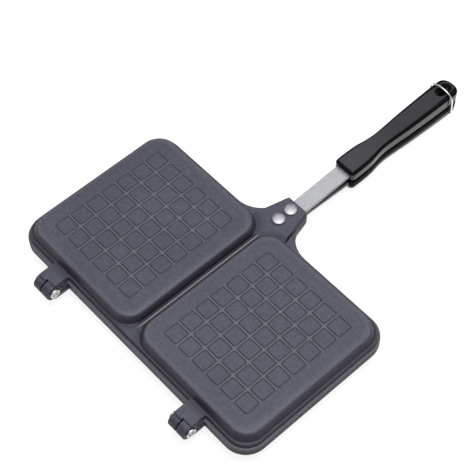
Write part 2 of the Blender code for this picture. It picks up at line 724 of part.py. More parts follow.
for half_name, place in (("lower", LOWER), ("upper", UPPER)):
    plate(half_name + "_plate", place)
    strap(half_name + "_strap", place)
    rivet(half_name + "_rivet_inner", INNER_RIVET_Y, place)
    rivet(half_name + "_rivet_outer", OUTER_RIVET_Y, place)
    grip(half_name + "_grip", place, half_name == "lower")
    grip_screw(half_name + "_grip_screw", place)
    grip_insert(half_name + "_grip_insert", place)

for side_name, side in (("left", -1), ("right", 1)):
    hinge_place = ((side * HINGE_HALF_SPACING, PIN_Y - MIDDLE_Y, PARTING_Z), False, None)
    hinge_pin("hinge_pin_" + side_name, hinge_place)
    hinge_spacer("hinge_spacer_" + side_name, hinge_place)
    hinge_washer("hinge_washer_" + side_name, hinge_place)

bail("wire_bail", (0, SLOT_Y - MIDDLE_Y, PARTING_Z - BAIL_PIVOT_SINK))
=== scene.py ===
# %% [markdown]
# # A stovetop sandwich maker, dressed for its portrait
#
# The imported model already holds the size, the joints and the plain solids of the maker. This lesson
# gives it the surfaces that the eye looks for: finer castings with their engraved squares, soft
# shoulders on the grips, a round wire, and finishes with grain, worn edges, painted highlights and
# painted shade.
#
# Every new piece is a surface worked out with numpy, in metres, in the same frame as the model:
# X along the hinge edge, Y from the hinges to the grips, Z up.

import math

import bmesh
import bpy
import numpy as np
from mathutils import Matrix, Vector


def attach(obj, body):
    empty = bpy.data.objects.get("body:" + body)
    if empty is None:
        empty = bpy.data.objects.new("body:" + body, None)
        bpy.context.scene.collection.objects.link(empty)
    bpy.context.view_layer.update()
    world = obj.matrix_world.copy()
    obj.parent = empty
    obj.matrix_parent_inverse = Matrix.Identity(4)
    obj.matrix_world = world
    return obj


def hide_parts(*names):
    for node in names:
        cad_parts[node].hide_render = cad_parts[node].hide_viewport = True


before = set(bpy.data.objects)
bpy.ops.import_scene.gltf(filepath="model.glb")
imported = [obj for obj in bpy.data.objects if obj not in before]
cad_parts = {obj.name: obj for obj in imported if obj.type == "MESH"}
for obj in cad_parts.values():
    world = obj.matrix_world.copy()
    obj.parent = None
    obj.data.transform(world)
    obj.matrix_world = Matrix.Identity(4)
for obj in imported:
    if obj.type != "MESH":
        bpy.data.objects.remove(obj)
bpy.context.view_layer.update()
MM = 0.001

# %% [markdown]
# ## The half frame
#
# The two halves come out of one mould, so each piece is drawn once, in a frame of its own: Y from the
# middle of the pans, Z outward from the parting plane. The upper half is lifted to its place, and the
# lower half is the same shape turned half a turn about Y. A turn keeps the faces pointing outward,
# which a mirror would not.

# %% Places of the two halves
PARTING_Z = 14.6 * MM
MIDDLE_Y = 87.75 * MM

UPPER = Matrix.Translation((0, -MIDDLE_Y, PARTING_Z))
LOWER = UPPER @ Matrix.Rotation(math.pi, 4, "Y")
HALVES = {"upper": UPPER, "lower": LOWER}
print("upper half at", tuple(round(v / MM, 1) for v in UPPER.translation), "mm")

# %% [markdown]
# ## From a grid of points to a mesh
#
# Nearly every piece here is a surface over two parameters: rings of points, one after another. The
# grid gives the corners, and the faces join each ring to the next. The same few lines serve for a
# casting, a rivet and a wire.
#
# A surface can close on itself in either direction. Where its first and last rings are open, one flat
# face closes each. Where a ring shrinks to a point, its corners are merged into one.

# %% Surfaces from grids
MERGE_WITHIN = 0.001 * MM


def grid_mesh(name, grids, closed=False):
    """Quads over grids of one size: corner (i, j) joins (i, j+1), (i+1, j+1) and (i+1, j).

    j always wraps round. With closed, i wraps too, as on a ring; otherwise flat faces close both ends.
    A shape whose volume comes out negative is turned inside out again.
    """
    grids = np.asarray(grids, float)
    if grids.ndim == 3:
        grids = grids[None]
    count, rows, columns = grids.shape[:3]
    index = np.arange(count * rows * columns).reshape(count, rows, columns)
    beside = np.roll(index, -1, axis=2)
    if closed:
        here, there = (index, beside), (np.roll(index, -1, axis=1), np.roll(beside, -1, axis=1))
    else:
        here, there = (index[:, :-1], beside[:, :-1]), (index[:, 1:], beside[:, 1:])
    quads = np.stack([here[0], here[1], there[1], there[0]], axis=-1).reshape(-1, 4)
    loops, sizes = [quads.ravel()], [np.full(len(quads), 4)]
    if not closed:
        loops += [index[:, 0, ::-1].ravel(), index[:, -1].ravel()]
        sizes.append(np.full(2 * count, columns))
    loops, sizes = np.concatenate(loops), np.concatenate(sizes)
    mesh = bpy.data.meshes.new(name)
    mesh.vertices.add(grids.size // 3)
    mesh.vertices.foreach_set("co", grids.ravel())
    mesh.loops.add(len(loops))
    mesh.loops.foreach_set("vertex_index", loops)
    mesh.polygons.add(len(sizes))
    mesh.polygons.foreach_set("loop_start", np.cumsum(sizes) - sizes)
    mesh.update(calc_edges=True)
    return outward(mesh)


def outward(mesh):
    """Merges corners that lie on one point, then turns the faces if the enclosed volume is negative."""
    work = bmesh.new()
    work.from_mesh(mesh)
    bmesh.ops.remove_doubles(work, verts=work.verts, dist=MERGE_WITHIN)
    if work.calc_volume(signed=True) < 0:
        bmesh.ops.reverse_faces(work, faces=work.faces)
    work.to_mesh(mesh)
    work.free()
    return mesh


# %% [markdown]
# ## Joining and cutting
#
# A casting is a slab with domes and knuckles on it and hollows cut into it. A Boolean does that well
# when each shape is closed. Both shapes are put on helper objects, the result is read back as a mesh
# and the helpers go, so that nothing live is left on the finished piece.

# %% Booleans that leave plain meshes
def new_object(name, data):
    """An object in the scene that holds the data."""
    made = bpy.data.objects.new(name, data)
    bpy.context.scene.collection.objects.link(made)
    return made


def combine(mesh, operation, *tools):
    """The mesh after joining the tool meshes to it, or cutting them away."""
    target, tool = new_object("target", mesh), new_object("tool", gathered(tools))
    step = target.modifiers.new("step", "BOOLEAN")
    step.operation, step.solver, step.object = operation, "EXACT", tool
    graph = bpy.context.evaluated_depsgraph_get()
    made = bpy.data.meshes.new_from_object(target.evaluated_get(graph), depsgraph=graph)
    for helper in (target, tool):
        used = helper.data
        bpy.data.objects.remove(helper)
        bpy.data.meshes.remove(used)
    return made


def gathered(meshes):
    """One mesh that holds several separate bodies."""
    whole = bmesh.new()
    for mesh in meshes:
        whole.from_mesh(mesh)
        bpy.data.meshes.remove(mesh)
    made = bpy.data.meshes.new("gathered")
    whole.to_mesh(made)
    whole.free()
    return made


# %% [markdown]
# ## Rounded outlines
#
# A plan of a casting is a polygon whose corners are arcs. Each arc touches its two sides: the centre
# lies on the corner's bisector at radius / sin(half angle), and the arc swings from one side to the
# other. All the corners are worked out at once, as one array.

# %% Outlines
def rounded_outline(corners, steps=10):
    """Points of a closed outline whose corners (x, y, radius) are arcs of so many steps each."""
    corners = np.asarray(corners, float)
    here, radius = corners[:, :2], corners[:, 2:]
    before, after = np.roll(here, 1, axis=0) - here, np.roll(here, -1, axis=0) - here
    before /= np.linalg.norm(before, axis=1, keepdims=True)
    after /= np.linalg.norm(after, axis=1, keepdims=True)
    half = np.arccos(np.clip((before * after).sum(1, keepdims=True), -1, 1)) / 2
    bisector = before + after
    bisector /= np.linalg.norm(bisector, axis=1, keepdims=True)
    centre = here + bisector * radius / np.sin(half)
    arm = here + before * radius / np.tan(half) - centre
    goal = here + after * radius / np.tan(half) - centre
    turn = np.arctan2(arm[:, 0] * goal[:, 1] - arm[:, 1] * goal[:, 0], (arm * goal).sum(1))
    angle = turn[:, None] * np.linspace(0, 1, steps + 1)
    x = arm[:, :1] * np.cos(angle) - arm[:, 1:] * np.sin(angle)
    y = arm[:, :1] * np.sin(angle) + arm[:, 1:] * np.cos(angle)
    return (centre[:, None] + np.stack([x, y], axis=-1)).reshape(-1, 2)


def rounded_rectangle(half_x, half_y, radius, steps=10):
    signs = np.array([(1, -1), (1, 1), (-1, 1), (-1, -1)])
    return rounded_outline(np.column_stack([signs * (half_x, half_y), np.full(4, radius)]), steps)


def levels(pairs, middle=(0, 0)):
    """A grid through (outline, height) pairs: one ring for each."""
    outlines = np.array([outline for outline, height in pairs]) + middle
    heights = np.array([height for outline, height in pairs])
    heights = np.broadcast_to(heights[:, None, None], outlines.shape[:2] + (1,))
    return np.concatenate([outlines, heights], axis=-1)


# %% [markdown]
# ## The flat part of a casting
#
# Both halves have a lip that meets the other half, a thin skirt above it, and a ledge on which the two
# domes stand. At the middle of the grip side a lug runs out to carry the strap. At the lip it widens
# in a long hollow curve, and at the ledge it has a small fillet. Four more corners make each hinge.
#
# The plan could be drawn as a curve and extruded. A loft through eight or more plans is better here,
# because the lip and the ledge have different corners, and one corner list gives both.

# %% Casting plans
PAN_HALF_X, PAN_HALF_Y, PAN_CORNER, VALLEY = 58.0 * MM, 64.8 * MM, 15.0 * MM, 4.4 * MM
LEDGE_SIDE, LEDGE_END, LIP_SIDE, LIP_END = 1.1 * MM, 1.3 * MM, 2.1 * MM, 2.7 * MM
PAN_PITCH = 2 * PAN_HALF_X + VALLEY
LEDGE_X, LEDGE_Y = PAN_PITCH / 2 + PAN_HALF_X + LEDGE_SIDE, PAN_HALF_Y + LEDGE_END
LEDGE_HEIGHT, SKIRT_DRAFT, TOP_ROUND = 7.8 * MM, 0.6 * MM, 0.4 * MM
SKIRT_FOOT = ((1.0, 0.2 * MM), (0.85, 0.6 * MM))  # share of the draft, height above the lip
LIP_X, LIP_Y = LEDGE_X + LIP_SIDE, LEDGE_Y + LIP_END
LIP_HEIGHT, LIP_CORNER, LIP_ROUND = 3.9 * MM, 18.0 * MM, 0.8 * MM
LUG_REACH, LUG_TIP_HALF, LUG_SPREAD = 27.6 * MM, 9.8 * MM, 7.1 * MM
LUG_CORNER, LUG_DRAFT, FLARE_RADIUS, ROOT_FILLET = 1.6 * MM, 0.6 * MM, 24.0 * MM, 1.5 * MM
LUG_TIP = LIP_Y + LUG_REACH
HINGE_X, HINGE_WIDTH, HINGE_FILLET, HINGE_CORNER = 73.1 * MM, 16.0 * MM, 1.2 * MM, 0.8 * MM
PIN_BEHIND, OVERHANG_SETBACK = 11.1 * MM, 1.0 * MM
PIN_Y = -(LIP_Y + PIN_BEHIND)
GAP = 0.3 * MM
OVERRUN = 3 * MM  # how far a cutter reaches past what it cuts


def casting_plan(inset, ledge):
    """The plan with lug and hinges, at the lip or at the ledge, drawn in by the inset all round."""
    half_x, half_y, corner, flare = (
        (LEDGE_X, LEDGE_Y, PAN_CORNER, ROOT_FILLET) if ledge else (LIP_X, LIP_Y, LIP_CORNER, FLARE_RADIUS)
    )
    half_x, half_y, corner, draft = half_x - inset, half_y - inset, corner - inset, LUG_DRAFT * ledge
    tip, tip_half = LUG_TIP - inset - draft, LUG_TIP_HALF - inset - draft
    root_half = tip_half + LUG_SPREAD * (tip - half_y) / LUG_REACH
    right = [(half_x, half_y, corner), (root_half, half_y, flare + inset), (tip_half, tip, LUG_CORNER)]
    left = [(-x, y, radius) for x, y, radius in reversed(right)]
    half, end = HINGE_WIDTH / 2 - inset, PIN_Y + OVERHANG_SETBACK + inset
    root = HINGE_FILLET + inset
    sides = [(-half, -half_y, root), (-half, end, HINGE_CORNER)]
    sides += [(-x, y, radius) for x, y, radius in reversed(sides)]
    hinges = [(middle + x, y, radius) for middle in (-HINGE_X, HINGE_X) for x, y, radius in sides]
    return rounded_outline(right + left + [(-half_x, -half_y, corner)] + hinges + [(half_x, -half_y, corner)])


def arc(radius, steps, start=0.0, end=90.0):
    """(across, up) pairs of a round edge: how far it has drawn in and how far it has risen."""
    angle = np.radians(np.linspace(start, end, steps + 1))
    return radius * (1 - np.cos(angle)), radius * np.sin(angle)


def casting_slab():
    """The loft from the parting plane up: soft lower edge, lip, flat of the lip, skirt, ledge."""
    across, up = arc(LIP_ROUND / 2, 4, 90, 0)
    pairs = [(casting_plan(a, False), GAP / 2 + LIP_ROUND / 2 - u) for a, u in zip(across, up)]
    across, up = arc(LIP_ROUND, 6)
    pairs += [(casting_plan(a, False), LIP_HEIGHT - LIP_ROUND + u) for a, u in zip(across, up)]
    pairs += [(casting_plan(-SKIRT_DRAFT * share, True), LIP_HEIGHT + rise) for share, rise in SKIRT_FOOT]
    across, up = arc(TOP_ROUND, 4)
    pairs += [(casting_plan(a, True), LEDGE_HEIGHT - TOP_ROUND + u) for a, u in zip(across, up)]
    return grid_mesh("slab", levels(pairs))


slab = casting_slab()
print("slab corners", len(slab.vertices), "half width", round(LIP_X / MM, 1), "mm")

# %% [markdown]
# ## Domes and hollows
#
# Each dome is the outside of one pan. Its wall leans in by 23 degrees and turns over a soft edge and
# a slight crown into a flat top. Its plan is a rounded rectangle whose corners tighten a little on the
# way up. The hollow inside holds a slice of bread. Both are lofts of rounded rectangles: only the
# profile differs.

# %% Dome and hollow profiles
DOME_RISE, DOME_DRAFT, DOME_EDGE, DOME_FOOT = 6.8 * MM, math.radians(23), 3.2 * MM, 0.6 * MM
CROWN_WIDTH, CROWN_DROP = 4.0 * MM, 0.3 * MM
CORNER_TIGHTEN, DOME_BURIED = 0.5, 1.5 * MM
FLOOR_WALL, RIM_WALL, CAVITY_LEAN, CAVITY_CORNER = 3.0 * MM, 2.0 * MM, 6.6 * MM, 13.5 * MM
DOMES = (-PAN_PITCH / 2, PAN_PITCH / 2)


def dome_profile(steps=9):
    """(inset, height) up a dome: buried start, fillet at its foot, wall, round edge, crown.

    The crown is a parabola: it leaves the round edge with a slight slope and ends level.
    """
    lean = math.pi / 2 - DOME_DRAFT
    wall = DOME_RISE - DOME_EDGE * (1 - math.cos(lean))
    run = wall * math.tan(DOME_DRAFT)
    turn = np.linspace(0, lean, 5)
    foot_in = DOME_FOOT * (np.sin(turn) / math.sin(lean) - 1)
    foot_up = DOME_FOOT * (1 - np.cos(turn))
    foot_in += DOME_FOOT * math.tan(DOME_DRAFT) * turn / lean
    angle = np.linspace(lean, 0, steps + 1)
    edge_in = run + DOME_EDGE * (math.sin(lean) - np.sin(angle))
    edge_up = DOME_RISE - DOME_EDGE * (1 - np.cos(angle))
    across = np.linspace(0, 1, 7)[1:]
    edge_up -= CROWN_DROP * np.linspace(0, 1, len(edge_up))
    inset = np.concatenate([[foot_in[0]], foot_in, edge_in, edge_in[-1] + CROWN_WIDTH * across])
    height = np.concatenate([[-DOME_BURIED], foot_up, edge_up, DOME_RISE - CROWN_DROP * (1 - across) ** 2])
    return inset, height


def pan_plan(inset, corner):
    tightened = corner - max(inset, 0) * CORNER_TIGHTEN
    return rounded_rectangle(PAN_HALF_X - inset, PAN_HALF_Y - inset, tightened, steps=12)


def dome(middle_x):
    pairs = [(pan_plan(i, PAN_CORNER), LEDGE_HEIGHT + h) for i, h in zip(*dome_profile())]
    return grid_mesh("dome", levels(pairs, (middle_x, 0)))


def smooth_curve(share, shares, values):
    """The cubic through the values at the shares, its slopes taken across each one's neighbours."""
    share, shares, values = (np.asarray(a, float) for a in (share, shares, values))
    last = len(shares) - 1
    low, high = np.maximum(np.arange(last + 1) - 1, 0), np.minimum(np.arange(last + 1) + 1, last)
    slopes = (values[high] - values[low]) / (shares[high] - shares[low])
    i = np.clip(np.searchsorted(shares, share, side="right") - 1, 0, last - 1)
    span = shares[i + 1] - shares[i]
    t = (share - shares[i]) / span
    return (
        (2 * t**3 - 3 * t**2 + 1) * values[i] + (t**3 - 2 * t**2 + t) * span * slopes[i]
        + (3 * t**2 - 2 * t**3) * values[i + 1] + (t**3 - t**2) * span * slopes[i + 1]
    )


def hollow(middle_x):
    """The hollow for one slice: steep at the rim, then a long curve into the flat floor."""
    shares = np.array([0, 0.17, 0.28, 0.5, 0.73, 1.0])
    depths = np.array([0, 0.56, 0.7, 0.87, 0.96, 1.0])
    share = np.linspace(0, 1, 14)
    inset = RIM_WALL + share * CAVITY_LEAN
    height = smooth_curve(share, shares, depths) * (LEDGE_HEIGHT + DOME_RISE - FLOOR_WALL)
    pairs = [(pan_plan(RIM_WALL, CAVITY_CORNER), -OVERRUN)]
    pairs += [(pan_plan(i, CAVITY_CORNER), h) for i, h in zip(inset, height)]
    return grid_mesh("hollow", levels(pairs, (middle_x, 0)))


print("dome profile", np.round(np.column_stack(dome_profile()) / MM, 2)[-1], "mm at its top")

# %% [markdown]
# ## The engraved squares
#
# Fine grooves draw a lattice of rounded squares on each dome, six across and seven along. They could
# be a pattern in the material, but a real groove has a lit wall and a dark one, so they are cut. One
# groove is a ring whose section is a small trough with a flared mouth. The 42 rings of a dome are one
# array: the points of the first ring plus 42 centres.

# %% Groove cutters
SQUARE_PITCH, SQUARE_HALF, SQUARE_CORNER = 14.2 * MM, 6.05 * MM, 1.8 * MM
COLUMNS, ROWS = 6, 7
GROOVE_SECTION = np.array([
    (0.85, 0.25), (0.60, 0.0), (0.52, -0.07), (0.44, -0.22), (0.32, -0.5), (0.16, -0.62),
    (-0.16, -0.62), (-0.32, -0.5), (-0.44, -0.22), (-0.52, -0.07), (-0.60, 0.0), (-0.85, 0.25),
]) * MM


def groove_rings(middle_x):
    """A closed trough round each square: its outline moved out and up by the section."""
    pairs = [(rounded_rectangle(SQUARE_HALF + a, SQUARE_HALF + a, SQUARE_CORNER + a, steps=5), h)
             for a, h in GROOVE_SECTION]
    x, y = (SQUARE_PITCH * (np.arange(count) - (count - 1) / 2) for count in (COLUMNS, ROWS))
    x, y = np.meshgrid(middle_x + x, y, indexing="ij")
    centre = np.stack([x, y, np.full_like(y, LEDGE_HEIGHT + DOME_RISE)], axis=-1).reshape(-1, 1, 1, 3)
    return grid_mesh("grooves", levels(pairs)[None] + centre, closed=True)


print("groove", round(2 * GROOVE_SECTION[1, 0] / MM, 2), "mm wide at the surface")

# %% [markdown]
# ## Knuckles, bores and pocket
#
# Each hinge has one knuckle on each half, side by side on the pin. A knuckle's side view is a circle
# round the pin whose crown runs back level with the ledge. It is lofted along X, with its outer edge
# broken. A wider cylinder then clears the space in which the other half's knuckle swings.

# %% Knuckles and cutters
KNUCKLE_RADIUS, KNUCKLE_SPLIT, KNUCKLE_ROUND, KNUCKLE_BREAK = 6.6 * MM, 1.2 * MM, 0.6 * MM, 0.25 * MM
KNUCKLE_ROOT, KNUCKLE_START = 1.5 * MM, math.radians(99)
RUNNING_CLEARANCE, PIN_SHANK, RIVET_SHANK = 0.35 * MM, 2.2 * MM, 2.5 * MM
STRAP_HALF, STRAP_THICK, STRAP_SINK, STRAP_BACK = 6.65 * MM, 2.0 * MM, 1.0 * MM, LIP_Y + 2 * MM
RIVET_FROM_TIP, RIVET_SPACING = 8.0 * MM, 11.9 * MM
OUTER_RIVET_Y = LUG_TIP - RIVET_FROM_TIP
INNER_RIVET_Y = OUTER_RIVET_Y - RIVET_SPACING
HINGES = (-HINGE_X, HINGE_X)


def knuckle(middle_x, steps=36):
    """Rings of (y, z) points along X: the circle from just past the crown, under, and back to the pan."""
    low, high = middle_x - HINGE_WIDTH / 2, middle_x - KNUCKLE_SPLIT / 2
    across, up = arc(KNUCKLE_ROUND, 3, 90, 0)
    stations = [(low + KNUCKLE_ROUND - u, a) for a, u in zip(across, up)]
    stations += [(high - KNUCKLE_BREAK, 0), (high, KNUCKLE_BREAK)]
    rings = []
    for x, inset in stations:
        radius, crown = KNUCKLE_RADIUS - inset, LEDGE_HEIGHT - inset
        angle = np.linspace(KNUCKLE_START, 2 * math.pi, steps + 1)
        y = np.concatenate([[0], radius * np.cos(angle), [radius, OVERHANG_SETBACK + KNUCKLE_ROOT]])
        z = np.concatenate([[crown], radius * np.sin(angle), [LIP_HEIGHT, crown]])
        rings.append(np.column_stack([np.full(len(y), x), PIN_Y + y, z]))
    return grid_mesh("knuckle", rings)


def lathe(name, profile, place=None, steps=48):
    """A surface turned about Z: each (radius, height) pair becomes a ring, and place moves the whole."""
    radius, height = (np.asarray(column, float)[:, None] for column in zip(*profile))
    angle = 2 * math.pi * np.arange(steps) / steps
    grid = np.stack(np.broadcast_arrays(radius * np.cos(angle), radius * np.sin(angle), height), axis=-1)
    made = grid_mesh(name, grid, closed=len(profile) > 2 and profile[0] == profile[-1])
    if place:
        made.transform(place)
    return made


def rod(radius, low, high, place):
    return lathe("rod", [(radius, low), (radius, high)], place, steps=40)


ALONG_X = Matrix.Rotation(math.pi / 2, 4, "Y")


def on_pin(middle_x):
    return Matrix.Translation((middle_x, PIN_Y, 0)) @ ALONG_X


def hole(y, radius, top):
    """A cutter for an upright hole on the middle line, a gap wider than what goes through it."""
    return rod(radius + GAP, -OVERRUN, top, Matrix.Translation((0, y, 0)))


def block(low, high):
    """A box: one rectangle at two heights."""
    (x0, y0, z0), (x1, y1, z1) = low, high
    corners = np.array([(x1, y0), (x1, y1), (x0, y1), (x0, y0)])
    return grid_mesh("block", levels([(corners, z0), (corners, z1)]))


# %% [markdown]
# ## Putting the casting together
#
# The order matters: the knuckles are joined before the swing space is cleared, and the bores come
# last. The grooves are cut at the end, when the dome tops are single flat faces, because a Boolean
# is quick and clean there.

# %% The casting
def casting():
    whole = combine(slab, "UNION", *[dome(x) for x in DOMES])
    whole = combine(whole, "UNION", *[knuckle(x) for x in HINGES])
    reach, swing = HINGE_WIDTH / 2 + OVERRUN, KNUCKLE_RADIUS + RUNNING_CLEARANCE
    cuts = [hollow(x) for x in DOMES]
    cuts += [rod(swing, -KNUCKLE_SPLIT / 2, reach, on_pin(x)) for x in HINGES]
    half, top = STRAP_HALF + GAP, STRAP_SINK + STRAP_THICK + GAP
    cuts.append(block((-half, STRAP_BACK - GAP, -OVERRUN), (half, LUG_TIP + OVERRUN, top)))
    whole = combine(whole, "DIFFERENCE", *cuts)
    bores = [rod(PIN_SHANK + GAP, -reach, reach, on_pin(x)) for x in HINGES]
    bores += [hole(y, RIVET_SHANK, LEDGE_HEIGHT + OVERRUN) for y in (INNER_RIVET_Y, OUTER_RIVET_Y)]
    whole = combine(whole, "DIFFERENCE", *bores)
    return combine(whole, "DIFFERENCE", *[groove_rings(x) for x in DOMES])


casting_mesh = casting()
print("casting", len(casting_mesh.vertices), "points,", len(casting_mesh.polygons), "faces")

# %% [markdown]
# ## Placing a piece
#
# A finished piece sits at the origin with its place in its mesh. Smooth shading is on, edges sharper
# than 40 degrees stay crisp, and Weighted Normal lets the large flat faces rule the shading of the
# narrow rounds beside them. The same mesh can be copied into both halves.

# %% Placing
CRISP_ANGLE, FACE_WEIGHT = math.radians(40), 50
made_pieces = {}


def place(name, mesh, body, node, slot, matrix):
    """Puts a copy of the mesh in the scene as a piece that rides on a body and stands for a CAD node."""
    mesh = mesh.copy()
    mesh.name = name
    mesh.transform(matrix)
    mesh.shade_smooth()
    mesh.set_sharp_from_angle(angle=CRISP_ANGLE)
    piece = new_object(name, mesh)
    weighted = piece.modifiers.new("weighted normals", "WEIGHTED_NORMAL")
    weighted.keep_sharp = True
    weighted.weight = FACE_WEIGHT
    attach(piece, body)
    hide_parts(node)
    made_pieces[name] = piece, slot


def place_in_half(half, name, mesh, node, slot, at=Matrix()):
    """A piece of the upper or the lower half; at is its place in the half frame."""
    place(half + "_" + name, mesh, half + "_half", half + "_" + node, slot, HALVES[half] @ at)


for half in HALVES:
    place_in_half(half, "casting", casting_mesh, "plate", "coated_casting")
print("placed", sorted(made_pieces))

# %% [markdown]
# ## Straps
#
# A flat steel strap lies in the lug's pocket, held by two rivets, and climbs gently into the grip.
# It is a rectangle with broken edges carried along Y. Its height is a straight climb with a little of
# a smooth step in it, so that its bends are soft, and it narrows to a tang inside the grip.

# %% Straps
STRAP_CLIMB, STRAP_EDGE, STRAP_MARGIN, STRAP_SOFTNESS = 2.5 * MM, 0.3 * MM, 2.0 * MM, 0.25
STRAP_SEEN, GRIP_LENGTH, SCREW_ALONG, SLOT_FROM_TIP = 46.6 * MM, 119.0 * MM, 47.0 * MM, 11.1 * MM
GRIP_FRONT = LUG_TIP + STRAP_SEEN
GRIP_TIP = GRIP_FRONT + GRIP_LENGTH
TANG_HALF, TANG_FROM, TANG_RINGS = 4.2 * MM, 11 * MM, np.array([10, 18, 56]) * MM
SOCKET_RINGS, STRAP_HOLE_TOP = np.array([-4, 10, 18, 56.3]) * MM, 12 * MM
SCREW_Y, SCREW_SHANK = GRIP_FRONT + SCREW_ALONG, 1.5 * MM
SLOT_Y = GRIP_TIP - SLOT_FROM_TIP


def smooth_step(share):
    """Rises from 0 to 1 with no slope at either end: 3 t squared minus 2 t cubed."""
    t = np.clip(share, 0, 1)
    return t * t * (3 - 2 * t)


def mirrored_rings(name, x, y, z):
    """A ring at each y: its (x, z) points on one side, then the same on the other side, backwards."""
    x, z = np.concatenate([x, -x[:, ::-1]], axis=1), np.concatenate([z, z[:, ::-1]], axis=1)
    return grid_mesh(name, np.stack([x, np.broadcast_to(y[:, None], x.shape), z], axis=-1))


def strap():
    """Rings of a rectangle with broken edges: the height climbs with y, the width drops at the tang."""
    start, end = LUG_TIP + STRAP_MARGIN, GRIP_FRONT - STRAP_MARGIN
    y = np.concatenate([[STRAP_BACK], np.linspace(start, end, 22), GRIP_FRONT + TANG_RINGS])
    climb = (y - start) / (end - start)
    climb = STRAP_SOFTNESS * smooth_step(climb) + (1 - STRAP_SOFTNESS) * np.clip(climb, 0, 1)
    low = STRAP_SINK + STRAP_CLIMB * climb
    half = np.where(y > GRIP_FRONT + TANG_FROM, TANG_HALF, STRAP_HALF)
    x = np.stack([half - STRAP_EDGE, half, half, half - STRAP_EDGE], axis=1)
    z = low[:, None] + np.array([0, STRAP_EDGE, STRAP_THICK - STRAP_EDGE, STRAP_THICK])
    return mirrored_rings("strap", x, y, z)


shanks = ((INNER_RIVET_Y, RIVET_SHANK), (OUTER_RIVET_Y, RIVET_SHANK), (SCREW_Y, SCREW_SHANK))
holes = [hole(y, radius, STRAP_HOLE_TOP) for y, radius in shanks]
strap_mesh = combine(strap(), "DIFFERENCE", *holes)
for half in HALVES:
    place_in_half(half, "steel_strap", strap_mesh, "strap", "brushed_strap")
print("strap", round((strap_mesh.vertices[0].co - strap_mesh.vertices[-1].co).length / MM), "mm long")

# %% [markdown]
# ## Rivets
#
# A rivet is a turned shape: domed head, shank and peened tail. The profile of (radius, height) pairs
# is swung round the axis. The head is a flattened dome that starts almost upright at its rim.

# %% Rivets
RIVET_HEAD, RIVET_CROWN, RIVET_RIM, RIVET_TAIL = 5.25 * MM, 1.9 * MM, 0.45 * MM, 3.6 * MM
RIVET_BREAK, TAIL_BREAK, TAIL_RISE = 0.1 * MM, 0.2 * MM, 0.15 * MM


def rivet():
    """Tail disc, shank, then the head: radius follows a cosine and height a sine up to the crown."""
    seat, tail, foot = LEDGE_HEIGHT + GAP, STRAP_SINK - GAP, GAP / 2
    angle = np.linspace(0, math.pi / 2, 13)
    rise = RIVET_RIM + (RIVET_CROWN - RIVET_RIM) * np.sin(angle)
    head = np.column_stack([RIVET_HEAD * np.cos(angle), seat + rise])
    head[-1, 0] = 0
    profile = [(0, foot), (RIVET_TAIL - TAIL_BREAK, foot), (RIVET_TAIL, foot + TAIL_RISE),
               (RIVET_TAIL, tail), (RIVET_SHANK, tail), (RIVET_SHANK, seat),
               (RIVET_HEAD - RIVET_BREAK, seat), (RIVET_HEAD, seat + RIVET_BREAK)]
    return lathe("rivet", profile + [tuple(pair) for pair in head], steps=56)


rivet_mesh = rivet()
for half in HALVES:
    for where, y in (("inner", INNER_RIVET_Y), ("outer", OUTER_RIVET_Y)):
        at = Matrix.Translation((0, y, 0))
        place_in_half(half, where + "_rivet", rivet_mesh, "rivet_" + where, "bright_rivet", at)
print("rivet head", round(2 * RIVET_HEAD / MM, 1), "mm across")

# %% [markdown]
# ## Grips
#
# The grips are moulded bakelite: a flat inner face, upright sides, soft shoulders and a flat outer
# face that is broad at the front, waisted where the fingers close, and narrow at the tip. It is one
# section carried along Y. The width, the width of the flat and the height are smooth curves of the
# distance along the grip, and the front corners and the round tip are steps of the same section.

# %% Grip surface
GRIP_HALF, GRIP_INNER, GRIP_FRONT_RISE, GRIP_TIP_RISE = 9.0 * MM, 1.2 * MM, 9.9 * MM, 12.2 * MM
GRIP_SHOULDER, GRIP_EDGE, GRIP_FRONT_CORNER, GRIP_FRONT_DROP = 2.8 * MM, 0.8 * MM, 3.0 * MM, 1.0 * MM
GRIP_TIP_ROUND, GRIP_TIP_DROP, GRIP_TIP_POWER, GRIP_TIP_TURN = 8.9 * MM, 3.2 * MM, 2.5, math.radians(84)
FRONT_RINGS, BODY_RINGS, TIP_RINGS, TIP_CROWDING = 12, 56, 24, 1.2
TIP_START = GRIP_LENGTH - GRIP_TIP_ROUND
SHARES = np.array([0, 0.1, 0.18, 0.25, 0.32, 0.42, 0.53, 0.745, 0.87, 1.0])
WIDTHS = np.array([1.085, 1.085, 1.03, 0.875, 0.785, 0.825, 0.91, 0.995, 1.02, 1.02])
FLATS = np.array([0.74, 0.74, 0.735, 0.73, 0.725, 0.715, 0.7, 0.68, 0.61, 0.5])


def tip_reach(turn):
    """How far along the tip an angle lies: a superellipse, so the tip is squarer than a half circle."""
    return GRIP_TIP_ROUND * (np.sin(turn) / math.sin(GRIP_TIP_TURN)) ** (2 / GRIP_TIP_POWER)


def tip_narrowing(turn):
    return np.cos(turn) ** (2 / GRIP_TIP_POWER)


def tip_drop(turn):
    return GRIP_TIP_DROP * (1 - np.cos(turn))


def tip_turn(along):
    """The angle that reaches so far along the tip: the reach turned round."""
    share = np.clip((along - TIP_START) / GRIP_TIP_ROUND, 0, 1)
    return np.arcsin(share ** (GRIP_TIP_POWER / 2) * math.sin(GRIP_TIP_TURN))


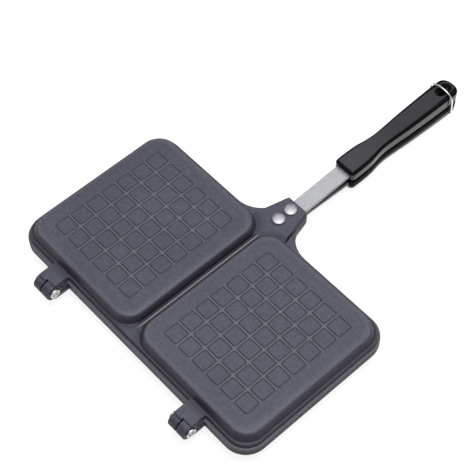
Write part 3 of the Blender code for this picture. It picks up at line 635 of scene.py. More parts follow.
def grip_stations():
    """(along, width factor, width cut, drop) for every ring, from the front corner to the tip."""
    turn = np.radians(np.linspace(6, 90, FRONT_RINGS))
    keep = 1 - np.sin(turn)
    front = (GRIP_FRONT_CORNER * (1 - np.cos(turn)), np.ones_like(turn), GRIP_FRONT_CORNER * keep,
             GRIP_FRONT_DROP * keep)
    along = np.linspace(GRIP_FRONT_CORNER, TIP_START, BODY_RINGS + 1)[1:]
    body = (along, np.ones_like(along), np.zeros_like(along), np.zeros_like(along))
    turn = GRIP_TIP_TURN * np.linspace(0, 1, TIP_RINGS + 1)[1:] ** TIP_CROWDING
    tip = (TIP_START + tip_reach(turn), tip_narrowing(turn), np.zeros_like(turn), tip_drop(turn))
    return np.concatenate([front, body, tip], axis=1).T


def grip_measures(along, factor=1.0, cut=0.0, drop=0.0):
    """Half width, half width of the flat outer face and its height, at a distance along the grip."""
    share = along / GRIP_LENGTH
    half = GRIP_HALF * smooth_curve(share, SHARES, WIDTHS) * factor
    flat = (half - cut) * smooth_curve(share, SHARES, FLATS)
    rise = GRIP_FRONT_RISE + (GRIP_TIP_RISE - GRIP_FRONT_RISE) * np.minimum(along / TIP_START, 1) - drop
    return half - cut, flat, rise


def grip_surface():
    """Each ring: small lower edge, upright side, quarter-ellipse shoulder, then the same mirrored."""
    along, factor, cut, drop = grip_stations().T
    half, flat, rise = (a[:, None] for a in grip_measures(along, factor, cut, drop))
    edge = np.radians(np.linspace(0, 90, 6))
    shoulder = np.radians(np.linspace(0, 90, 13))
    x = np.concatenate([half - GRIP_EDGE * (1 - np.sin(edge)),
                        flat + (half - flat) * np.cos(shoulder)], axis=1)
    z = np.concatenate([np.broadcast_to(GRIP_INNER + GRIP_EDGE * (1 - np.cos(edge)), (len(along), 6)),
                        rise - GRIP_SHOULDER * (1 - np.sin(shoulder))], axis=1)
    return mirrored_rings("grip", x, GRIP_FRONT + along, z)


print("grip rings", len(grip_stations()))

# %% [markdown]
# ## The holes of a grip
#
# A socket takes the strap, a bore takes the screw and its brass insert, and a long slot hangs the
# maker on a hook. The slot's mouth is rounded over: its cutter widens near the outer face, and its
# rings follow the height of the grip there. The lower grip also has the two pivots of the wire.

# %% Grip cutters
SLOT_HALF, SLOT_LENGTH, WIRE, PIVOT_SINK = 4.3 * MM, 15.0 * MM, 0.7 * MM, 7.4 * MM
SCREW_HEAD, INSERT_LENGTH = 2.9 * MM, 3.0 * MM
STRAP_OUTER = STRAP_SINK + STRAP_THICK + STRAP_CLIMB
BAIL_SIDE, BAIL_BITE = 1.3 * MM, 2.6 * MM
BAIL_LEG_X, BAIL_DEPTH = GRIP_HALF * WIDTHS[-1] + BAIL_SIDE + WIRE, BAIL_SIDE + WIRE + BAIL_BITE


def slot_cutter():
    """Rings of the slot's outline, spread by the mouth's round and lifted to the grip's own height."""
    spread = np.array([0, 0, 0.07, 0.26, 0.5, 0.62, 0.62]) * MM
    above = np.array([0, -0.62, -0.34, -0.12, -0.02, 0.04, 0]) * MM
    rings = []
    for index, (wider, height) in enumerate(zip(spread, above)):
        half = SLOT_HALF + wider
        outline = rounded_rectangle(half, SLOT_LENGTH / 2 + wider, half * 0.98, steps=12)
        y = SLOT_Y + outline[:, 1]
        along = y - GRIP_FRONT
        top = grip_measures(along, 1.0, 0.0, tip_drop(tip_turn(along)))[2]
        level = {0: -OVERRUN, len(spread) - 1: GRIP_TIP_RISE + OVERRUN}
        z = np.full(len(y), level[index]) if index in level else top + height
        rings.append(np.column_stack([outline[:, 0], y, z]))
    return grid_mesh("slot", rings)


def socket_cutter():
    """The socket for the strap: the strap's own plan with a gap round it."""
    y = GRIP_FRONT + SOCKET_RINGS
    across = np.array([STRAP_HALF, STRAP_HALF, TANG_HALF, TANG_HALF]) + GAP
    heights = np.tile((STRAP_SINK + STRAP_CLIMB - GAP, STRAP_OUTER + GAP), (len(y), 1))
    return mirrored_rings("socket", np.column_stack([across, across]), y, heights)


def pivot_cutters():
    at = Matrix.Translation((0, SLOT_Y, PIVOT_SINK)) @ ALONG_X
    inner, outer = BAIL_LEG_X - BAIL_DEPTH - GAP, BAIL_LEG_X + OVERRUN
    return [rod(WIRE + GAP, inner, outer, at), rod(WIRE + GAP, -outer, -inner, at)]


# %% [markdown]
# ## The two grips
#
# Both grips are the same moulding, cut by the same socket, bore and slot. The lower one also gets the
# pivots. A value kept on each corner marks the flat outer face, and the finish reads it later.

# %% Grips
FACE_DEPTH, FACE_MARGIN, FACE_FRONT = 1.1 * MM, 0.02 * MM, 0.7 * GRIP_FRONT_CORNER


def outer_face_mask(mesh):
    """A value on each corner: 1 on the flat outer face, 0 on the shoulders and sides."""
    points = np.empty(len(mesh.vertices) * 3)
    mesh.vertices.foreach_get("co", points)
    x, y, z = points.reshape(-1, 3).T
    along = y - GRIP_FRONT
    turn = tip_turn(along)
    flat, rise = grip_measures(along, tip_narrowing(turn), 0.0, tip_drop(turn))[1:]
    mask = (np.abs(x) <= flat + FACE_MARGIN) & (z >= rise - FACE_DEPTH) & (along >= FACE_FRONT)
    mesh.attributes.new("outer_face", "FLOAT", "POINT").data.foreach_set("value", mask.astype(np.float32))


bore = hole(SCREW_Y, SCREW_HEAD, STRAP_OUTER + GAP + INSERT_LENGTH + GAP)
grip_mesh = combine(grip_surface(), "DIFFERENCE", socket_cutter())
grip_mesh = combine(grip_mesh, "DIFFERENCE", bore, slot_cutter())
pivoted_mesh = combine(grip_mesh.copy(), "DIFFERENCE", *pivot_cutters())
for half, mesh in (("upper", grip_mesh), ("lower", pivoted_mesh)):
    outer_face_mask(mesh)
    place_in_half(half, "bakelite_grip", mesh, "grip", "bakelite")
print("grip", len(grip_mesh.vertices), "points")

# %% [markdown]
# ## Small hardware
#
# Pins, washers, screws and inserts are turned parts too. A washer is a lathe profile that closes on
# itself, so it has a hole. The pins are hollow-headed: the head is a rim round a sunk middle.

# %% Hinge hardware
PIN_HEAD, PIN_HEAD_THICK, PIN_RECESS, PIN_TAIL = 4.1 * MM, 1.0 * MM, 2.1 * MM, 3.4 * MM
WASHER_RADIUS, WASHER_THICK, WASHER_BREAK, SPACER_RADIUS = 4.2 * MM, 0.7 * MM, 0.08 * MM, 4.0 * MM
PIN_END, PIN_BREAK, PIN_SUNK = 0.9 * MM, 0.35 * MM, 0.6 * MM


def hinge_pin():
    """From the peened end through the shank to the head's rim and its sunk middle."""
    head, tail = HINGE_WIDTH / 2 + GAP, -(HINGE_WIDTH / 2 + GAP + WASHER_THICK + GAP)
    top, end = head + PIN_HEAD_THICK, tail - PIN_END
    bevel, soft, sunk = PIN_BREAK, 0.3 * PIN_BREAK, top - PIN_SUNK
    profile = [(0, end), (PIN_TAIL - 2 * bevel, end), (PIN_TAIL - soft, end + 2 * soft),
               (PIN_TAIL, end + 1.4 * bevel), (PIN_TAIL, tail), (PIN_SHANK, tail), (PIN_SHANK, head),
               (PIN_HEAD, head), (PIN_HEAD, top - bevel), (PIN_HEAD - soft, top - soft),
               (PIN_HEAD - bevel, top), (PIN_RECESS + bevel, top), (PIN_RECESS + soft, top - soft),
               (PIN_RECESS, top - bevel), (PIN_RECESS, sunk), (0, sunk)]
    return lathe("pin", profile, ALONG_X)


def washer(name, outer, inner, low, high, matrix=None):
    """A ring with broken outer edges; its profile ends where it starts."""
    bevel = WASHER_BREAK
    profile = [(outer, low + bevel), (outer, high - bevel), (outer - bevel, high), (inner, high),
               (inner, low), (outer - bevel, low)]
    return lathe(name, profile + profile[:1], matrix)


for side, x in (("left", -HINGE_X), ("right", HINGE_X)):
    at = UPPER @ Matrix.Translation((x, PIN_Y, 0))
    place(side + "_pin", hinge_pin(), "lower_half", "hinge_pin_" + side, "plated_steel", at)
    spacing, end = KNUCKLE_SPLIT / 2 - GAP, HINGE_WIDTH / 2 + GAP
    rings = (("_spacer", SPACER_RADIUS, -spacing, spacing),
             ("_washer", WASHER_RADIUS, -(end + WASHER_THICK), -end))
    for name, outer, low, high in rings:
        ring = washer(name, outer, PIN_SHANK + GAP, low, high, ALONG_X)
        place(side + name, ring, "lower_half", "hinge" + name + "_" + side, "plated_steel", at)
print("pieces so far", len(made_pieces))

# %% [markdown]
# ## Screws and inserts
#
# Each grip is held by one slotted screw, which goes from its inner face through the strap into a brass
# insert. Both are turned parts, and a block cuts the slot.

# %% Grip screws and inserts
SCREW_HEAD_THICK, SCREW_BREAK, INSERT_WALL = 1.3 * MM, 0.3 * MM, 1.1 * MM
DRIVE_REACH, DRIVE_HALF, DRIVE_DEPTH = 6 * MM, 0.4 * MM, 0.6 * MM


def grip_screw():
    """Slotted head against the strap, its shank in the insert."""
    top = STRAP_SINK + STRAP_CLIMB - GAP
    low, end = top - SCREW_HEAD_THICK, STRAP_OUTER + GAP + INSERT_LENGTH
    bevel = SCREW_BREAK
    profile = [(0, low), (SCREW_HEAD - bevel, low), (SCREW_HEAD, low + bevel), (SCREW_HEAD, top),
               (SCREW_SHANK, top), (SCREW_SHANK, end - bevel), (SCREW_SHANK - bevel, end), (0, end)]
    drive = block((-DRIVE_REACH, -DRIVE_HALF, low - OVERRUN), (DRIVE_REACH, DRIVE_HALF, low + DRIVE_DEPTH))
    return combine(lathe("screw", profile), "DIFFERENCE", drive)


screw_mesh = grip_screw()
low, inner = STRAP_OUTER + GAP, SCREW_SHANK + GAP
insert_mesh = washer("insert", inner + INSERT_WALL, inner, low, low + INSERT_LENGTH)
at = Matrix.Translation((0, SCREW_Y, 0))
for half in HALVES:
    place_in_half(half, "screw", screw_mesh, "grip_screw", "plated_steel", at)
    place_in_half(half, "brass_insert", insert_mesh, "grip_insert", "insert_brass", at)
print("pieces so far", len(made_pieces))

# %% [markdown]
# ## The wire bail
#
# One piece of round wire holds the two grips together. Its ends sit in the lower grip, and it arches
# over the upper one, leaning a little towards the hinges. The path is a list of points in its own
# plane: in, a tight bend up, then half of an oval. A circle is carried along it, square to the path at
# each point.

# %% Wire bail
BAIL_CLEARANCE = 2.5 * MM
BAIL_TOP = PIVOT_SINK + GRIP_TIP_RISE + BAIL_CLEARANCE + WIRE
BAIL_DROP, BAIL_BEND, BAIL_POWER, BAIL_LEAN = 8.0 * MM, 1.8 * MM, 2.1, math.radians(5)


def bail_path():
    """(x, z) points: the pivot end, a quarter circle, an upright leg and a superellipse over the top."""
    bend = np.radians(np.linspace(0, 90, 12))
    bow = np.radians(np.linspace(0, 90, 40))
    x = np.concatenate([[BAIL_LEG_X - BAIL_DEPTH], BAIL_LEG_X - BAIL_BEND * (1 - np.sin(bend)),
                        BAIL_LEG_X * np.maximum(np.cos(bow), 0) ** (2 / BAIL_POWER)])
    z = np.concatenate([[0], BAIL_BEND * (1 - np.cos(bend)),
                        BAIL_TOP - BAIL_DROP + BAIL_DROP * np.sin(bow) ** (2 / BAIL_POWER)])
    x, z = np.concatenate([x, -x[-2::-1]]), np.concatenate([z, z[-2::-1]])
    return np.column_stack([x, z])


def wire_along(path, radius, steps=20):
    """A circle at each point, square to the path: its side vector is the path's normal, its up is Y."""
    ahead = np.gradient(path, axis=0)
    ahead /= np.linalg.norm(ahead, axis=1, keepdims=True)
    angle = 2 * math.pi * np.arange(steps) / steps
    side = np.stack([ahead[:, 1], np.zeros(len(path)), -ahead[:, 0]], axis=-1)
    centre = np.stack([path[:, 0], np.zeros(len(path)), path[:, 1]], axis=-1)
    up = np.array([0, 1, 0])
    offset = radius * (np.cos(angle)[None, :, None] * side[:, None] + np.sin(angle)[None, :, None] * up)
    return grid_mesh("wire", centre[:, None] + offset)


pivot = Matrix.Translation((0, SLOT_Y - MIDDLE_Y, PARTING_Z - PIVOT_SINK))
pivot = pivot @ Matrix.Rotation(BAIL_LEAN, 4, "X")
place("bail", wire_along(bail_path(), WIRE), "bail", "wire_bail", "bail_wire", pivot)
print("wire", len(bail_path()), "points along its path")

# %% [markdown]
# ## Shared effects
#
# Several finishes share small effects, so each effect is a node group with named sockets: a fine
# grain for cast, moulded and plain metal surfaces, streaks for brushed metal, and a slow mottling that
# makes a surface look handled. Three more read where a point lies on the maker: the lattice tells the
# grooves, where shade is painted, and the bars between the squares, where a highlight is painted; the
# second group tells the edges, pale partly where worn and partly by a painted highlight, and the
# creases, walls and sides of a casting, where shade is painted; and polish tells the sides of a grip
# and how near its tip is. A group only puts out values. Each material decides what they change.

# %% Sums with nodes
class Sums:
    """Short spellings for the arithmetic nodes of one node tree."""

    def __init__(self, tree):
        self.nodes, self.links = tree.nodes, tree.links

    def __call__(self, operation, *values):
        node = self.nodes.new("ShaderNodeMath")
        node.operation = operation
        self.feed(node.inputs, values)
        return node.outputs[0]

    def feed(self, sockets, values):
        """Sets each socket to its number, or links it to the socket given."""
        for socket, value in zip(sockets, values):
            if isinstance(value, bpy.types.NodeSocket):
                self.links.new(value, socket)
            else:
                socket.default_value = value

    def times(self, first, *others):
        """The product of the values."""
        for other in others:
            first = self("MULTIPLY", first, other)
        return first

    def most(self, first, *others):
        """The largest of the values."""
        for other in others:
            first = self("MAXIMUM", first, other)
        return first

    def away(self, value, place):
        """How far the value lies from the place, either way."""
        return self("ABSOLUTE", self("SUBTRACT", value, place))

    def ramp(self, value, start, end):
        """A smooth step from 0 at start to 1 at end."""
        node = self.nodes.new("ShaderNodeMapRange")
        node.interpolation_type = "SMOOTHSTEP"
        self.feed(node.inputs, (value, start, end, 0.0, 1.0))
        return node.outputs["Result"]

    def bump(self, value, start, middle, end):
        """0 at start and end, 1 in the middle."""
        return self.times(self.ramp(value, start, middle), self.ramp(value, end, middle))

    def outside(self, x, y, half_x, half_y, radius):
        """How far a point lies outside a rounded rectangle, by the centre and radius of its corner."""
        reach, length = self.nodes.new("ShaderNodeCombineXYZ"), self.nodes.new("ShaderNodeVectorMath")
        self.feed(reach.inputs, [self("MAXIMUM", self("SUBTRACT", place, half - radius), 0.0)
                                 for place, half in ((x, half_x), (y, half_y))])
        length.operation = "LENGTH"
        self.links.new(reach.outputs[0], length.inputs[0])
        return self("SUBTRACT", length.outputs["Value"], radius)


def effect_group(name, outputs=("Value",), inputs=()):
    """A node group with a vector and named number inputs, its number outputs, and the nodes at its ends."""
    group = bpy.data.node_groups.new(name, "ShaderNodeTree")
    group.interface.new_socket("Vector", in_out="INPUT", socket_type="NodeSocketVector")
    for way, labels in (("INPUT", inputs), ("OUTPUT", outputs)):
        for label in labels:
            group.interface.new_socket(label, in_out=way, socket_type="NodeSocketFloat")
    return group, group.nodes.new("NodeGroupInput"), group.nodes.new("NodeGroupOutput")


def half_place(group, given):
    """Sums for the group, then x from the middle line, y from the pans' middle, z from the parting plane."""
    sums, split = Sums(group), group.nodes.new("ShaderNodeSeparateXYZ")
    group.links.new(given.outputs["Vector"], split.inputs[0])
    x, y, z = split.outputs
    return sums, (sums("ABSOLUTE", x), sums("ADD", y, MIDDLE_Y), sums("SUBTRACT", z, PARTING_Z))


# %% [markdown]
# ## Noise
#
# Grain and mottle are noise with more or less detail, and the streaks are noise drawn out along Y.

# %% Noise effects
NOISE_ROUGHNESS = 0.55


def noise_effect(name, detail, stretch=(1, 1, 1)):
    """Noise whose scale is an input; the stretch draws it out along an axis."""
    group, given, out = effect_group(name, inputs=("Scale",))
    mapping, noise = group.nodes.new("ShaderNodeMapping"), group.nodes.new("ShaderNodeTexNoise")
    mapping.inputs["Scale"].default_value = stretch
    noise.inputs["Detail"].default_value = detail
    noise.inputs["Roughness"].default_value = NOISE_ROUGHNESS
    group.links.new(given.outputs["Vector"], mapping.inputs["Vector"])
    group.links.new(mapping.outputs["Vector"], noise.inputs["Vector"])
    group.links.new(given.outputs["Scale"], noise.inputs["Scale"])
    group.links.new(noise.outputs["Fac"], out.inputs["Value"])
    return group


GRAIN, MOTTLE = noise_effect("grain", 3.0), noise_effect("mottle", 2.0)
STREAKS = noise_effect("streaks", 4.0, (1.0, 0.03, 1.0))
print("noise effects", [group.name for group in (GRAIN, MOTTLE, STREAKS)])

# %% [markdown]
# ## Effects that know their place
#
# Each fade below is a pair: where an effect is nothing, and where it is full. The crease has a third
# place, where it is nothing again. Fades of the valley are measured from the middle line between the
# pans, those of the foot outward from the foot of a dome's wall, and those of the height upward from
# the ledge. The last ones belong to the grips.

# %% Lattice, worn edges with painted light and shade, and polish
# The groove fade places painted shade in the grooves, and the bar fade a painted highlight on the bars.
GROOVE_FADE, BAR_FADE = np.array([(0.45, 0.15), (0.65, 0.25)]) * MM
# The valley line fade places a painted glint between the pans; the rim height places a painted highlight on
# the dome rims, and the other valley, foot, height and side fades place painted shade.
VALLEY_GLINT, VALLEY_SHADE, VALLEY_CLEAR = np.array([(0.8, 0.4), (5.0, 3.0), (0.5, 0.9)]) * MM
FOOT_NEAR, FOOT_UNDER, FOOT_CREASE = (9.0 * MM, 0.5 * MM), (-7.0 * MM, -5.0 * MM), (-0.7 * MM, 0.0, 0.8 * MM)
HEIGHT_WALL, HEIGHT_VALLEY, HEIGHT_RIM = (6.5 * MM, 2.5 * MM), (4.0 * MM, 1.0 * MM), (5.4 * MM, 6.3 * MM)
STRAIGHT_FADE = (PAN_HALF_Y - 6 * MM, PAN_HALF_Y - 12 * MM)
LATTICE_DEPTH, LEDGE_MARGIN, LIP_MARGIN, PLAN_MARGIN, FOOT_MARGIN = np.array([0.7, 0.6, 0.1, 0.5, 0.2]) * MM
LIP_MIDDLE, SKIRT_FULL, PARTING_MIDDLE, PARTING_END = 0.8 * MM, 0.8 * MM, 0.45 * MM, 0.9 * MM
# Shares of the rim's painted highlight, of the worn edges with their painted highlight, and of the painted
# shade on walls, creases, lug skirt, lip walls, parting gap and sides.
RIM_HIGHLIGHT_SHARE, EDGE_WEAR_AND_HIGHLIGHT_SHARE, WALL_SHADE_SHARE, CREASE_SHADE_SHARE = 0.25, 0.75, 0.55, 0.7
LUG_EXTRA, LIP_WALL_SHADE_SHARE, PARTING_SHADE_SHARE, SIDE_SHADE_SHARE = 0.7, 0.6, 1.6, 0.55
BELOW_TOP, ABOVE_INNER, LOWER_SIDE = (1.6 * MM, 3.4 * MM), (1.6 * MM, 2.4 * MM), (-5.4 * MM, -6.8 * MM)
TIP_FADE = (0.1 * GRIP_LENGTH, 0.45 * GRIP_LENGTH)


def lattice_effect():
    """Groove: 1 in the grooves, where painted shade goes. Bar: 1 on the bars between the squares, where a
    painted highlight goes.

    The distance from the middle of the nearest square is a triangle wave of x and y with the squares'
    own pitch. The distance outside its rounded corner then tells groove, bar and square apart.
    """
    group, given, out = effect_group("lattice", ("Groove", "Bar"))
    sums, (x, y, z) = half_place(group, given)
    x, y, half_pitch = sums.away(x, PAN_PITCH / 2), sums("ABSOLUTE", y), SQUARE_PITCH / 2
    from_bar = sums("PINGPONG", x, half_pitch)
    u, v = sums("SUBTRACT", half_pitch, from_bar), sums("PINGPONG", y, half_pitch)
    outside = sums.outside(u, v, SQUARE_HALF, SQUARE_HALF, SQUARE_CORNER)
    groove = sums.ramp(sums("ABSOLUTE", outside), *GROOVE_FADE)
    bar = sums.ramp(sums("MINIMUM", from_bar, sums("SUBTRACT", half_pitch, v)), *BAR_FADE)
    on_top = sums("GREATER_THAN", sums("ABSOLUTE", z), LEDGE_HEIGHT + DOME_RISE - LATTICE_DEPTH)
    for label, value, reach in (("Groove", groove, half_pitch), ("Bar", bar, SQUARE_HALF)):
        within = [sums("LESS_THAN", place, (count - 1) * half_pitch + reach)
                  for place, count in ((x, COLUMNS), (y, ROWS))]
        group.links.new(sums.times(value, on_top, *within), out.inputs[label])
    return group


def wear_and_painted_light_effect():
    """Edge: worn rounds that also carry a painted highlight, a painted highlight on the dome rims, and a
    painted glint on the line between the pans. Shade: painted shade in the creases, on the walls and the
    sides, and between the pans.

    Both run from 0 to about 1. Each of their parts is a product of fades and of one share.
    """
    group, given, out = effect_group("wear_and_painted_light", ("Edge", "Shade"))
    sums, (across, along, z) = half_place(group, given)
    x, y, z = sums.away(across, PAN_PITCH / 2), sums("ABSOLUTE", along), sums("ABSOLUTE", z)
    height = sums("SUBTRACT", z, LEDGE_HEIGHT)
    foot = sums.outside(x, y, PAN_HALF_X, PAN_HALF_Y, PAN_CORNER)
    straight, above = sums.ramp(y, *STRAIGHT_FADE), sums("GREATER_THAN", height, -TOP_ROUND)
    low = sums.times(sums("LESS_THAN", height, LEDGE_MARGIN), above)

    # Pale rounds of ledge and lip, partly worn and partly a painted highlight; a painted highlight on the
    # dome rims; a painted glint along the middle of the valley between the pans.
    ledge = sums.bump(height, -TOP_ROUND, -TOP_ROUND / 2, 0.0)
    lip = sums.bump(z, LIP_HEIGHT - LIP_ROUND, LIP_HEIGHT - LIP_ROUND / 4, LIP_HEIGHT + LIP_MARGIN)
    on_pans = sums("LESS_THAN", y, LIP_Y + PLAN_MARGIN)
    edges = sums.times(sums.most(ledge, lip), on_pans, EDGE_WEAR_AND_HIGHLIGHT_SHARE)
    rim = sums.times(sums.bump(height, *HEIGHT_RIM, DOME_RISE), RIM_HIGHLIGHT_SHARE)
    line = sums.times(sums.ramp(across, *VALLEY_GLINT), low, straight)
    group.links.new(sums.most(edges, rim, line), out.inputs["Edge"])

    # Painted shade: on the walls near their foot, in the crease at the foot, in the valley between the pans,
    # and on the skirt, the lip walls and the parting gap.
    near = sums.times(sums.ramp(foot, *FOOT_NEAR), sums.ramp(foot, *FOOT_UNDER), above)
    wall = sums.times(near, sums.ramp(height, *HEIGHT_WALL), WALL_SHADE_SHARE)
    crease = sums.times(sums.bump(foot, *FOOT_CREASE), low, CREASE_SHADE_SHARE)
    valley = sums.times(sums.ramp(across, *VALLEY_SHADE), sums.ramp(across, *VALLEY_CLEAR),
                        sums.ramp(height, *HEIGHT_VALLEY), straight, above)
    on_lug = sums("GREATER_THAN", along, LIP_Y + PLAN_MARGIN)
    skirt = sums.times(sums.ramp(z, LIP_HEIGHT + LIP_MARGIN, LIP_HEIGHT + SKIRT_FULL),
                       sums.ramp(height, -TOP_ROUND, -2 * TOP_ROUND),
                       sums("ADD", 1.0, sums("MULTIPLY", on_lug, LUG_EXTRA)))
    lip_wall = sums.times(sums.bump(z, GAP / 2, LIP_MIDDLE, LIP_HEIGHT - LIP_ROUND / 2), LIP_WALL_SHADE_SHARE,
                          sums("SUBTRACT", 1.0, on_lug))
    parting = sums.times(sums.bump(z, GAP / 2, PARTING_MIDDLE, PARTING_END), PARTING_SHADE_SHARE)
    sides = sums.times(sums.most(skirt, lip_wall, parting), sums("GREATER_THAN", foot, FOOT_MARGIN),
                       SIDE_SHADE_SHARE, sums("GREATER_THAN", along, -LIP_Y - PLAN_MARGIN))
    group.links.new(sums.most(wall, crease, sides, valley), out.inputs["Shade"])
    return group


def polish_effect():
    """Side: 1 on the upright sides of a grip, 0 on its shoulders. Tip: 0 near the pans, 1 towards the tip."""
    group, given, out = effect_group("polish", ("Side", "Tip"))
    sums, (across, y, z) = half_place(group, given)
    along, slope = sums("SUBTRACT", y, GRIP_FRONT), (GRIP_TIP_RISE - GRIP_FRONT_RISE) / TIP_START
    top = sums("ADD", sums("MULTIPLY", along, slope), GRIP_FRONT_RISE)
    upper = sums.times(sums.ramp(sums("SUBTRACT", top, z), *BELOW_TOP), sums.ramp(z, *ABOVE_INNER))
    group.links.new(sums.most(upper, sums.ramp(z, *LOWER_SIDE)), out.inputs["Side"])
    group.links.new(sums.ramp(along, *TIP_FADE), out.inputs["Tip"])
    return group


LATTICE, WEAR_AND_PAINTED_LIGHT, POLISH = lattice_effect(), wear_and_painted_light_effect(), polish_effect()
print("placed effects", {group.name: len(group.nodes) for group in (LATTICE, WEAR_AND_PAINTED_LIGHT, POLISH)})

# %% [markdown]
# ## Building a material
#
# A finish starts from the Principled shader. Helpers add an effect, spread it between two numbers or
# two colours, and join it to a socket. The pattern is read in Object coordinates, which ride with the
# piece, so it never slides.

# %% Material helpers
def new_material(name, metallic=0.0, roughness=0.5, colour=(0.5, 0.5, 0.5)):
    material = bpy.data.materials.new(name)
    material.use_nodes = True
    shader = material.node_tree.nodes["Principled BSDF"]
    shader.inputs["Base Color"].default_value = (*colour, 1)
    shader.inputs["Metallic"].default_value = metallic
    shader.inputs["Roughness"].default_value = roughness
    coordinates = material.node_tree.nodes.new("ShaderNodeTexCoord")
    return material, shader, coordinates


def effect(material, coordinates, group, scale):
    """The group's value in this material at a scale."""
    outputs = effects(material, coordinates, group)
    outputs["Value"].node.inputs["Scale"].default_value = scale
    return outputs["Value"]


def effects(material, coordinates, group):
    """All the values that a group puts out, read in Object coordinates."""
    node = material.node_tree.nodes.new("ShaderNodeGroup")
    node.node_tree = group
    material.node_tree.links.new(coordinates.outputs["Object"], node.inputs["Vector"])
    return node.outputs


def between(material, value, low, high, start=0.3, end=0.7):
    """Spreads a value from start..end to two numbers, or to two colours."""
    tree = material.node_tree
    if isinstance(low, tuple):
        ramp = tree.nodes.new("ShaderNodeValToRGB")
        ramp.color_ramp.elements[0].position, ramp.color_ramp.elements[1].position = start, end
        ramp.color_ramp.elements[0].color, ramp.color_ramp.elements[1].color = (*low, 1), (*high, 1)
        tree.links.new(value, ramp.inputs["Fac"])
        return ramp.outputs["Color"]
    spread = tree.nodes.new("ShaderNodeMapRange")
    for label, number in (("From Min", start), ("From Max", end), ("To Min", low), ("To Max", high)):
        spread.inputs[label].default_value = number
    tree.links.new(value, spread.inputs["Value"])
    return spread.outputs["Result"]


def blend(material, kind, share, first, second):
    """Two colours mixed or multiplied; each may be a fixed colour or another node's output."""
    tree = material.node_tree
    mix = tree.nodes.new("ShaderNodeMix")
    mix.data_type, mix.blend_type = "RGBA", kind
    values = [(*value, 1) if isinstance(value, tuple) else value for value in (share, first, second)]
    Sums(tree).feed((mix.inputs[0], mix.inputs[6], mix.inputs[7]), values)
    return mix.outputs[2]


def relief(material, shader, value, strength, distance):
    """Feeds a value to the shader's normal as height."""
    bump = material.node_tree.nodes.new("ShaderNodeBump")
    bump.inputs["Strength"].default_value = strength
    bump.inputs["Distance"].default_value = distance
    material.node_tree.links.new(value, bump.inputs["Height"])
    material.node_tree.links.new(bump.outputs["Normal"], shader.inputs["Normal"])


# %% [markdown]
# ## The coated castings
#
# A dark grey satin coating on cast aluminium. It isn't one flat colour: it is a little bluish, very
# finely grained, and slightly uneven where it has been wiped. The lattice paints shade in the grooves
# and a highlight on the bars. The edges are paled partly where worn and partly by a painted highlight,
# with a painted glint between the pans, and shade is painted in the creases, on the walls and sides and
# between the pans. The slow mottling moves the colour, and the grain moves the roughness and the
# relief.

# %% Coating
coating, shader, where = new_material("satin coating", roughness=0.44)
shader.inputs["Specular IOR Level"].default_value = 0.22
mottle = effect(coating, where, MOTTLE, 22.0)
speckle = effect(coating, where, GRAIN, 700.0)
grain = effect(coating, where, GRAIN, 1500.0)
lattice, wear_and_painted_light = effects(coating, where, LATTICE), effects(coating, where, WEAR_AND_PAINTED_LIGHT)
colour = between(coating, mottle, (0.059, 0.059, 0.080), (0.070, 0.070, 0.094))
speckles = between(coating, speckle, (0.80, 0.80, 0.80), (1.22, 1.22, 1.22), 0.32, 0.68)
colour = blend(coating, "MULTIPLY", 1.0, colour, speckles)
for value, share, other in (
    # painted highlight on the bars between the squares
    (lattice["Bar"], 0.45, (0.16, 0.16, 0.185)),
    # painted shade in the grooves
    (lattice["Groove"], 0.85, (0.010, 0.010, 0.014)),
    # painted shade in the creases, on the walls and sides, and between the pans
    (wear_and_painted_light["Shade"], 0.95, (0.008, 0.008, 0.011)),
    # pale worn rounds that also carry a painted highlight, painted highlights on the rims and a painted glint
    # between the pans
    (wear_and_painted_light["Edge"], 0.8, (0.19, 0.19, 0.205)),
):
    colour = blend(coating, "MIX", between(coating, value, 0.0, share, 0.0, 1.0), colour, other)
coating.node_tree.links.new(colour, shader.inputs["Base Color"])
coating.node_tree.links.new(between(coating, grain, 0.40, 0.52), shader.inputs["Roughness"])
relief(coating, shader, grain, 0.3, 0.05 * MM)
print(coating.name, len(coating.node_tree.nodes), "nodes")

# %% [markdown]
# ## Bakelite
#
# Moulded bakelite is black where the mould was polished, with a clear gloss on the upright sides, and
# grey and matte on the flat outer face, which darkens a little towards the tip. The value kept on the
# grip's corners blends the two colours.

# %% Bakelite
bakelite, shader, where = new_material("bakelite", roughness=0.5)
shader.inputs["Specular IOR Level"].default_value = 0.0
shader.inputs["Coat Roughness"].default_value = 0.12
mask = bakelite.node_tree.nodes.new("ShaderNodeAttribute")
mask.attribute_name = "outer_face"
mottle = effect(bakelite, where, MOTTLE, 60.0)
grain = effect(bakelite, where, GRAIN, 1100.0)
polish = effects(bakelite, where, POLISH)
matte = between(bakelite, grain, (0.038, 0.038, 0.043), (0.051, 0.051, 0.058))
faded = between(bakelite, polish["Tip"], (1.2, 1.2, 1.2), (0.9, 0.9, 0.9), 0.0, 1.0)
matte = blend(bakelite, "MULTIPLY", 1.0, matte, faded)
gloss = between(bakelite, mottle, (0.0035, 0.0035, 0.004), (0.006, 0.006, 0.0065))
colour = blend(bakelite, "MIX", mask.outputs["Fac"], gloss, matte)
coat = between(bakelite, polish["Side"], 0.12, 1.0, 0.0, 1.0)
bakelite.node_tree.links.new(colour, shader.inputs["Base Color"])
bakelite.node_tree.links.new(coat, shader.inputs["Coat Weight"])
relief(bakelite, shader, grain, 0.08, 0.04 * MM)
print(bakelite.name, len(bakelite.node_tree.nodes), "nodes")

# %% [markdown]
# ## Metals
#
# The strap is brushed along its length, so its streaks are noise stretched along Y, in colour,
# roughness and relief. The rivets, the wire, the plated parts and the brass have a fine grain instead,
# each with its own brightness and haze.

